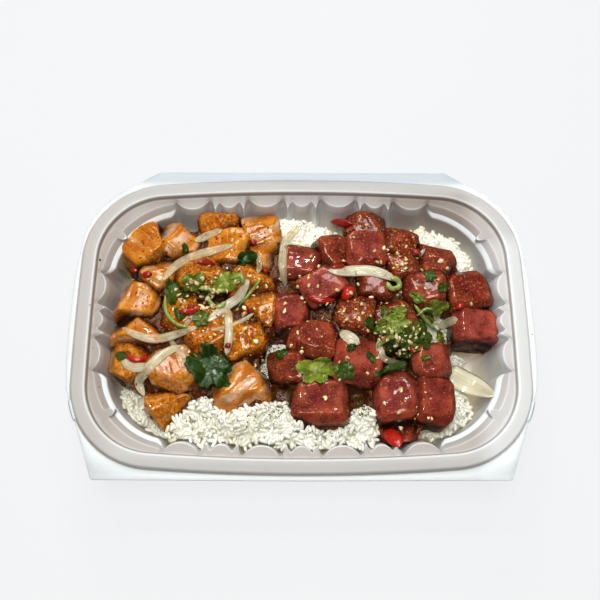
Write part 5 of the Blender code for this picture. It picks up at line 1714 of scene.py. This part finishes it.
# %% Leaf finish
leaf_finish = Finish("herb_leaf", Subsurface_Weight=0.15, Subsurface_Scale=0.001, Coat_Roughness=0.1,
                     Subsurface_Radius=(0.5, 1.0, 0.2))
leaf_place = leaf_finish.place()
leaf_outward, leaf_lobe, leaf_tone = leaf_finish.parts(leaf_finish.attribute("leaf", 1))
leaf_patch = leaf_finish.noise(leaf_place, 3.5, detail=3.0)
leaf_to_vein = leaf_finish.math("PINGPONG", leaf_lobe, 0.5) * (leaf_outward * 3.0 + 1.0)
leaf_vein = 1.0 - leaf_to_vein.above(0.07, 0.06)
leaf_base = leaf_finish.mix(leaf_tone, (0.016, 0.052, 0.003), (0.31, 0.35, 0.042))
leaf_base = leaf_finish.mix(leaf_patch.above(0.5, 0.15) * 0.5, leaf_base, (0.062, 0.135, 0.007))
leaf_base = leaf_finish.mix(leaf_vein * (leaf_tone * 0.4 + 0.12), leaf_base, (0.36, 0.50, 0.12))
leaf_finish.colour(leaf_base)
leaf_finish.rough(leaf_patch * 0.25 + 0.22)
leaf_finish.vary("Coat Weight", leaf_patch.above(0.54, 0.06) * 0.7 + 0.04)
leaf_finish.bump(leaf_finish.noise(leaf_place, 1.8, detail=4.0) - leaf_vein * 0.25, 0.55)
print("leaf finish has", len(leaf_finish.tree.nodes), "nodes")

# %% [markdown]
# The square grid is pulled to the lobed outline, then each point is laid on what the camera sees there. A
# leaf bends but doesn't fall into gaps, so no point sinks far below its higher parts.

# %% The shape of a leaf
LEAF_CELLS = 26
LEAF_SAG, LEAF_EDGE_SAG = 1.2, 3.0


def leaf_reach(angle, leaf):
    """How far a leaf reaches at an angle, as a share of its half length: lobes, teeth and unevenness."""
    lobe = abs(math.cos(angle * leaf.lobes / 2 + 0.5 * math.sin(angle + leaf.x)))
    teeth = 0.07 * abs(math.sin(angle * leaf.lobes * 2.5 + leaf.x))
    uneven = 0.12 * math.sin(angle + leaf.y)
    return 0.54 + 0.34 * lobe**0.6 + teeth + uneven + 0.05 * math.sin(angle * 3 + leaf.x)


def add_leaf(bm, tree, leaf):
    layer = bm.verts.layers.float_vector.new("leaf")
    verts = bmesh.ops.create_grid(bm, x_segments=LEAF_CELLS, y_segments=LEAF_CELLS, size=1.0)["verts"]
    turn = math.radians(leaf.turn)
    ground = {}
    for vert in verts:
        flat = Vector((vert.co.x, vert.co.y))
        square = max(abs(flat.x), abs(flat.y))
        angle = math.atan2(flat.y, flat.x)
        reach = leaf_reach(angle, leaf) * square
        u, v = math.cos(angle) * reach * leaf.length / 2, math.sin(angle) * reach * leaf.width / 2
        x = leaf.x + u * math.cos(turn) - v * math.sin(turn)
        y = leaf.y + u * math.sin(turn) + v * math.cos(turn)
        ground[vert] = (x, y, seen(tree, x, y)[0].z, square, angle, v)
    heights = sorted(values[2] for values in ground.values())
    high = heights[int(len(heights) * 0.8)]
    for vert, (x, y, z, square, angle, v) in ground.items():
        z = max(z, high - LEAF_SAG - LEAF_EDGE_SAG * square)
        ruffle = 0.9 * square**2 * math.sin(angle * leaf.lobes * 1.5 + leaf.x)
        ruffle += 0.55 * noise.noise(Vector((x / 1.8, y / 1.8, leaf.turn)))
        crease = leaf.fold * (abs(v) / (leaf.width / 2)) - leaf.fold * 0.4
        vert.co = at_height(x, y, z + leaf.lift + ruffle + crease)
        vert[layer] = (square, angle * leaf.lobes / (2 * math.pi), leaf.tone)
    for _ in range(3):
        bmesh.ops.smooth_vert(bm, verts=verts, factor=0.5, use_axis_z=True)


print("a leaf has", LEAF_CELLS**2, "cells")

# %% [markdown]
# The onion strips and the leaves lie on the fish and the rice. The wide strip on the right, which has a blunt
# end, lies beside the fish, on the rice and the tray.

# %% The onion strips and leaves
LEAF_THICK = 0.3

carried = joined_tree(made_pieces)
under_fish = joined_tree([core_piece, rice_grains, tray])
for strip in ONIONS:
    bm = bmesh.new()
    add_strip(bm, under_fish if strip.blunt else carried, strip)
    finish_topping(strip.name, "slice", bm, onion_finish)
for leaf in LEAVES:
    bm = bmesh.new()
    add_leaf(bm, carried, leaf)
    thickened(finish_topping(leaf.name, "sheet", bm, leaf_finish), LEAF_THICK, offset=1)
print(len(ONIONS), "onion strips and", len(LEAVES), "leaves")

# %% [markdown]
# Thin stems and the pale green rings of spring onion are strips too. So are the slices of red chilli, whose
# skin is smooth and very glossy.

# %% Stems, rings and chilli
def strip_finish(name, low, high, streak_colour):
    """Glossy skin with lengthwise streaks, between two colours by the strip's tone."""
    finish = Finish(name, Coat_Weight=0.8, Coat_Roughness=0.06, Subsurface_Weight=0.12,
                    Subsurface_Scale=0.001)
    grain = finish.attribute("grain", 1)
    streak = finish.noise(finish.stretched(grain, (0.2, 1.2, 5.0)), 1.0, detail=3.0)
    cloud = finish.noise(finish.place(), 2.2, detail=3.0)
    base = finish.mix(finish.parts(grain)[2], low, high)
    finish.colour(finish.mix(streak.above(0.55, 0.15) * 0.5, base, streak_colour))
    finish.rough(cloud * 0.2 + 0.16)
    finish.bump(streak + cloud, 0.25)
    return finish


chilli_finish = strip_finish("red_chilli", (0.22, 0.006, 0.004), (0.56, 0.022, 0.008), (0.50, 0.05, 0.01))
stem_finish = strip_finish("green_stem", (0.10, 0.20, 0.012), (0.52, 0.60, 0.22), (0.30, 0.42, 0.06))
CHILLIES = numbered(Strip, "chilli", [
    ([(14.5, 53.5), (20, 53), (25.5, 52.5)], 5.0, 3.0, 0.1, 1.6),
    ([(38.5, -53), (42, -56), (45.5, -60.5)], 7.2, 2.4, 0.8, 3.0, -0.5),
])
CHILLIES += numbered(Strip, "chilli_small", [
    ([(-80, 24), (-74, 25)], 4.2, 1.8, 0.4, 1.8),
    ([(-85, 28), (-81, 26)], 3.6, 1.6, 0.2, 1.8),
    ([(-52, 31), (-48, 31.5), (-43, 30)], 3.6, 1.8, 0.3, 1.8),
    ([(-60, 5), (-53, 6), (-46, 9)], 4.2, 1.8, 0.5, 1.8),
    ([(-84, -15), (-81, -19), (-76, -19), (-74, -16)], 2.8, 1.8, 0.8, 2.6),
    ([(-28, 9.5), (-27, 3)], 3.2, 1.6, 0.4, 1.8),
    ([(19.5, 11.5), (25.5, 18.5)], 5.6, 2.6, 1.0, 1.8),
    ([(3, 12.5), (10, 11), (17, 11.5)], 3.4, 1.6, 0.4, 1.8),
    ([(55, 38), (60, 36)], 3.6, 1.6, 0.3, 1.8),
    ([(74.5, 7), (80, 9.5)], 3.4, 1.6, 0.5, 1.8),
    ([(14, 28.5), (22, 29.5)], 2.4, 1.3, 0.4, 1.8),
    ([(-19, 27), (-16.5, 26)], 3.0, 1.5, 0.6, 1.8),
    ([(-26, 43), (-22.5, 41)], 3.0, 1.5, 0.2, 1.8),
    ([(-37, -13), (-34, -11)], 3.0, 1.5, 0.3, 1.8),
    ([(51, -13), (55, -15)], 2.6, 1.3, 0.3, 1.8),
])
STEMS = numbered(Strip, "stem", [
    ([(-31.5, 7), (-26, 14), (-19.5, 23)], 1.9, 1.7, 0.4),
    ([(-67, 14), (-66, 5), (-61, -1), (-55, -3)], 2.2, 1.9, 0.55),
    ([(55, 9), (62, -1), (66, -5)], 2.4, 2.0, 0.65),
    ([(-91, 28), (-87, 24), (-84, 22)], 1.5, 1.4, 0.3),
    ([(-38, 16), (-44, 15.5), (-45, 10.5), (-41, 7.5), (-37, 10.5)], 2.6, 2.0, 0.85, 8),
    ([(42, 21), (44, 17.5), (48, 18.5), (47.5, 22), (44, 23)], 3.0, 2.4, 0.8, 8),
    ([(-51, 17), (-46, 17.5), (-43, 15)], 3.0, 2.0, 0.35, 4),
    ([(36, -13), (42, -8), (50, -9)], 2.6, 1.6, 0.15, 3),
    ([(56, 3), (61, 7), (64, 6)], 2.0, 1.6, 0.4, 3),
    ([(-36, 22), (-30, 24), (-29, 19)], 2.6, 1.6, 0.5, 3),
])
carried = joined_tree(made_pieces)
for strips, finish, slot in ((CHILLIES, chilli_finish, "chilli"), (STEMS, stem_finish, "leaf")):
    for strip in strips:
        bm = bmesh.new()
        add_strip(bm, carried, strip)
        finish_topping(strip.name, "slice", bm, finish)
print(len(CHILLIES), "slices of chilli and", len(STEMS), "stems and rings")

# %% [markdown]
# The smallest things are joined into a few pieces by kind: minced garlic and sesame seeds, black seeds and
# bits of seaweed, chilli flakes, and the green dust of a rice seasoning. Each has its own tint and lies on
# the surface that the camera sees at its place, turned to it. Few of them stick to onion, and little of the
# dust to fish.

# %% Seeds, flakes and dust
CLEAN_SHARE = 0.8
Bit = namedtuple("Bit", "length width thick tint spread segments")
BITS = {
    "garlic": Bit(2.3, 1.8, 1.2, (0.86, 0.76, 0.48), 0.35, (7, 5)),
    "sesame": Bit(1.9, 1.3, 0.8, (0.80, 0.62, 0.30), 0.35, (7, 5)),
    "black": Bit(2.1, 1.3, 0.6, (0.012, 0.013, 0.011), 0.3, (6, 4)),
    "flake": Bit(1.0, 0.75, 0.3, (0.40, 0.025, 0.008), 0.6, (5, 3)),
    "orange": Bit(0.9, 0.65, 0.3, (0.55, 0.18, 0.02), 0.5, (5, 3)),
    "herb": Bit(1.0, 0.6, 0.3, (0.05, 0.11, 0.012), 0.5, (5, 3)),
    "dust": Bit(0.6, 0.42, 0.25, (0.13, 0.16, 0.035), 0.7, (4, 3)),
}
bits_finish = Finish("seeds_and_flakes", Subsurface_Weight=0.1, Subsurface_Scale=0.001, Coat_Weight=0.5,
                     Coat_Roughness=0.15)
bits_tint = bits_finish.attribute("tint", 0)
bits_cloud = bits_finish.noise(bits_finish.place(), 0.9, detail=2.0)
bits_finish.colour(bits_finish.mix(bits_cloud.above(0.6, 0.1) * 0.25, bits_tint, (0.40, 0.16, 0.03)))
bits_finish.rough(bits_cloud * 0.3 + 0.25)
bits_finish.bump(bits_cloud, 0.15)


carried = joined_tree(made_pieces)
clean_tree = joined_tree([piece for piece in made_pieces if piece.name.startswith("onion")])


def hits(tree, x, y):
    return tree.ray_cast(EYE, Vector((x, y, READ_HEIGHT)) - EYE)[0] is not None


class BitHeap(Heap):
    """A heap of bits that drop on what the camera sees at their place."""

    def __init__(self, seed):
        super().__init__("float_color", "tint")
        self.rng = random.Random(seed)

    def drop(self, kind, x, y, scale=1.0):
        bit, rng = BITS[kind], self.rng
        if rng.random() < CLEAN_SHARE and hits(clean_tree, x, y):
            return
        if kind == "dust" and hits(fish_tree, x, y) and rng.random() < CLEAN_SHARE:
            return
        place, normal = seen(carried, x, y)
        normal = (normal + Vector([rng.uniform(-0.25, 0.25) for _ in range(3)])).normalized()
        along = normal.orthogonal().normalized()
        along.rotate(Matrix.Rotation(rng.uniform(0, math.pi), 3, normal))
        turn = Matrix((along, normal.cross(along), normal)).transposed()
        size = scale * (1 + bit.spread * rng.uniform(-1, 1))
        light = 1 + 0.6 * bit.spread * rng.uniform(-1, 1)
        lumps = Vector((rng.uniform(0, 50), 0, 0))
        for vert in self.sphere(bit.segments):
            lump = size * (1 + 0.6 * noise.noise(vert.co * 1.2 + lumps))
            vert.co = Vector((vert.co.z * bit.length / 2 * (1 + 0.2 * vert.co.x), vert.co.x * bit.width / 2,
                              vert.co.y * bit.thick / 2 + bit.thick * 0.3)) * lump
            vert.co = turn @ vert.co + place
            vert[self.layer] = (*[channel * light for channel in bit.tint], 1.0)

    def finish(self, name, slot):
        piece = finish_piece(name, self.joined(), bits_finish)
        print(name, self.count, "bits", triangle_count(piece.data), "triangles")


print(len(BITS), "kinds of bits")

# %% [markdown]
# Single bits stand where the picture shows them. Patches are filled at random, more thickly towards their
# middles. All places are points of the reading plane.

# %% Where they lie
GARLIC = [
    (8, 29), (-1, 24), (0, 12), (28, 19.5), (41, 39), (43, 38), (44, 34), (48, 36), (67.5, 22), (69, 32),
    (72, 28), (83, 9.5), (28, 2), (-5, -12), (0, -15), (11, -38), (18, -29), (39, -40), (49, -38), (59, -47),
    (46, -52),
    (-62, 16.5), (-47, 17), (-22, 18), (-28, 7), (-27, -13), (-22, -10), (39, 10), (-56, 13), (-40, 24),
    (38, -7), (41, -9), (44, -6), (47, -9), (50, -7), (45, -12), (52, -10), (55, -8), (49, -14), (40, -5),
    (47, -16), (52, -17), (-52, 20), (-31, 27), (-37, 28), (56, 45), (50, 30), (34, 13), (47, 14),
]
BLACK = [(-70, -47), (-13, -30), (-25, -46.5), (0, -47), (6, -51), (22, -46), (33, -39), (59, -50),
         (-59, -36), (-9, 43), (-8, 46), (45, -61), (-34, -31), (-3, -33)]
# Specks that have fallen on the tray: kind, x, y
SPECKS = [("black", -100.5, 32.2), ("flake", -101.5, 23.9), ("herb", -103.4, 8.4), ("orange", -100, -13.5),
          ("black", -86.2, 27.6), ("herb", -88.2, 19.8), ("herb", -90.1, 8.4), ("herb", -95.6, -32.7),
          ("herb", 111.3, -6.2), ("herb", -93.1, -40.5), ("dust", -89.2, -46.7), ("dust", -90.1, -51.4),
          ("herb", 90, -20), ("dust", 86, -16), ("dust", 88, 30), ("dust", -86, -36), ("dust", -92, -30)]
# Where smaller things are dense: kind, x, y, half width, half depth, how many
PATCHES = [
    ("dust", -15, -22, 7, 9, 240), ("dust", -8, -36, 12, 11, 300), ("dust", -47, -36, 11, 5, 90),
    ("dust", -20, -47, 34, 6, 110), ("dust", 27, -41, 7, 6, 150), ("dust", 12, -52, 13, 4, 100),
    ("herb", -15, -20, 6, 8, 30), ("herb", -5, -38, 10, 10, 16), ("herb", 26, -40, 6, 6, 12),
    ("herb", 46, -8, 14, 10, 60), ("flake", 46, -8, 14, 10, 60), ("sesame", 46, -8, 13, 9, 22),
    ("orange", 46, -8, 14, 10, 40), ("flake", -48, 12, 14, 12, 70), ("orange", -48, 12, 14, 12, 60),
    ("sesame", -48, 13, 13, 11, 20), ("flake", 26, 8, 10, 8, 40), ("orange", 26, 6, 10, 8, 70),
    ("sesame", 26, 6, 9, 8, 12), ("flake", 46, 33, 14, 10, 60), ("orange", 46, 33, 14, 10, 60),
    ("flake", 30, 50, 8, 5, 20), ("orange", 30, 48, 9, 6, 25), ("sesame", 48, 34, 11, 8, 12),
    ("flake", -60, -20, 26, 22, 60), ("orange", -66, -42, 9, 9, 40), ("flake", -74, 36, 10, 10, 24),
    ("orange", -36, 46, 20, 10, 40), ("flake", -36, 46, 22, 10, 36), ("flake", -18, 2, 10, 18, 40),
    ("orange", -18, 2, 10, 18, 50), ("herb", -70, 34, 18, 16, 24), ("herb", -30, 30, 20, 16, 24),
    ("flake", 66, 20, 20, 20, 22), ("orange", 66, 20, 20, 20, 22), ("flake", 10, -20, 24, 20, 16),
    ("orange", 10, -22, 24, 18, 18), ("flake", 54, -42, 16, 14, 8), ("orange", 54, -42, 16, 14, 12),
    ("sesame", 52, -40, 14, 12, 8), ("flake", -78, 0, 14, 22, 30), ("orange", -78, 0, 14, 22, 30),
    ("herb", 10, -10, 26, 24, 24), ("sesame", 0, 10, 14, 26, 12), ("sesame", -30, 5, 20, 34, 16),
    ("orange", -48, 16, 34, 34, 130),
    ("flake", -48, 16, 34, 34, 90), ("sesame", -48, 14, 30, 30, 30), ("orange", 30, 8, 44, 44, 60),
    ("flake", 30, 8, 44, 44, 45), ("sesame", 30, 10, 40, 36, 46), ("herb", 48, -4, 16, 14, 60),
    ("herb", -50, 14, 14, 12, 60), ("garlic", -50, 14, 12, 9, 14), ("garlic", 47, -8, 11, 8, 10),
]
seeds, flakes, dust = (BitHeap(seed) for seed in (21, 22, 23))
for x, y in GARLIC:
    seeds.drop("garlic", x, y, seeds.rng.uniform(0.75, 1.05))
for x, y in BLACK:
    seeds.drop("black", x, y)
for kind, x, y in SPECKS:
    dust.drop(kind, x, y, 0.7)
HEAPS = {"sesame": seeds, "dust": dust, "herb": dust}
for kind, x, y, half_width, half_depth, count in PATCHES:
    heap = HEAPS.get(kind, flakes)
    for _ in range(count):
        angle, reach = heap.rng.uniform(0, 2 * math.pi), heap.rng.uniform(0, 1) ** 0.6
        heap.drop(kind, x + half_width * reach * math.cos(angle), y + half_depth * reach * math.sin(angle))
seeds.finish("seeds_and_garlic", "onion")
flakes.finish("chilli_flakes", "chilli")
dust.finish("green_dust", "leaf")

# %% [markdown]
# The imported solids are shaded smooth, and the number of pieces and their triangles is printed.

# %% Finish
for name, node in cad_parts.items():
    node.data.shade_smooth()
print(len(made_pieces), "pieces", sum(triangle_count(piece.data) for piece in made_pieces), "triangles")
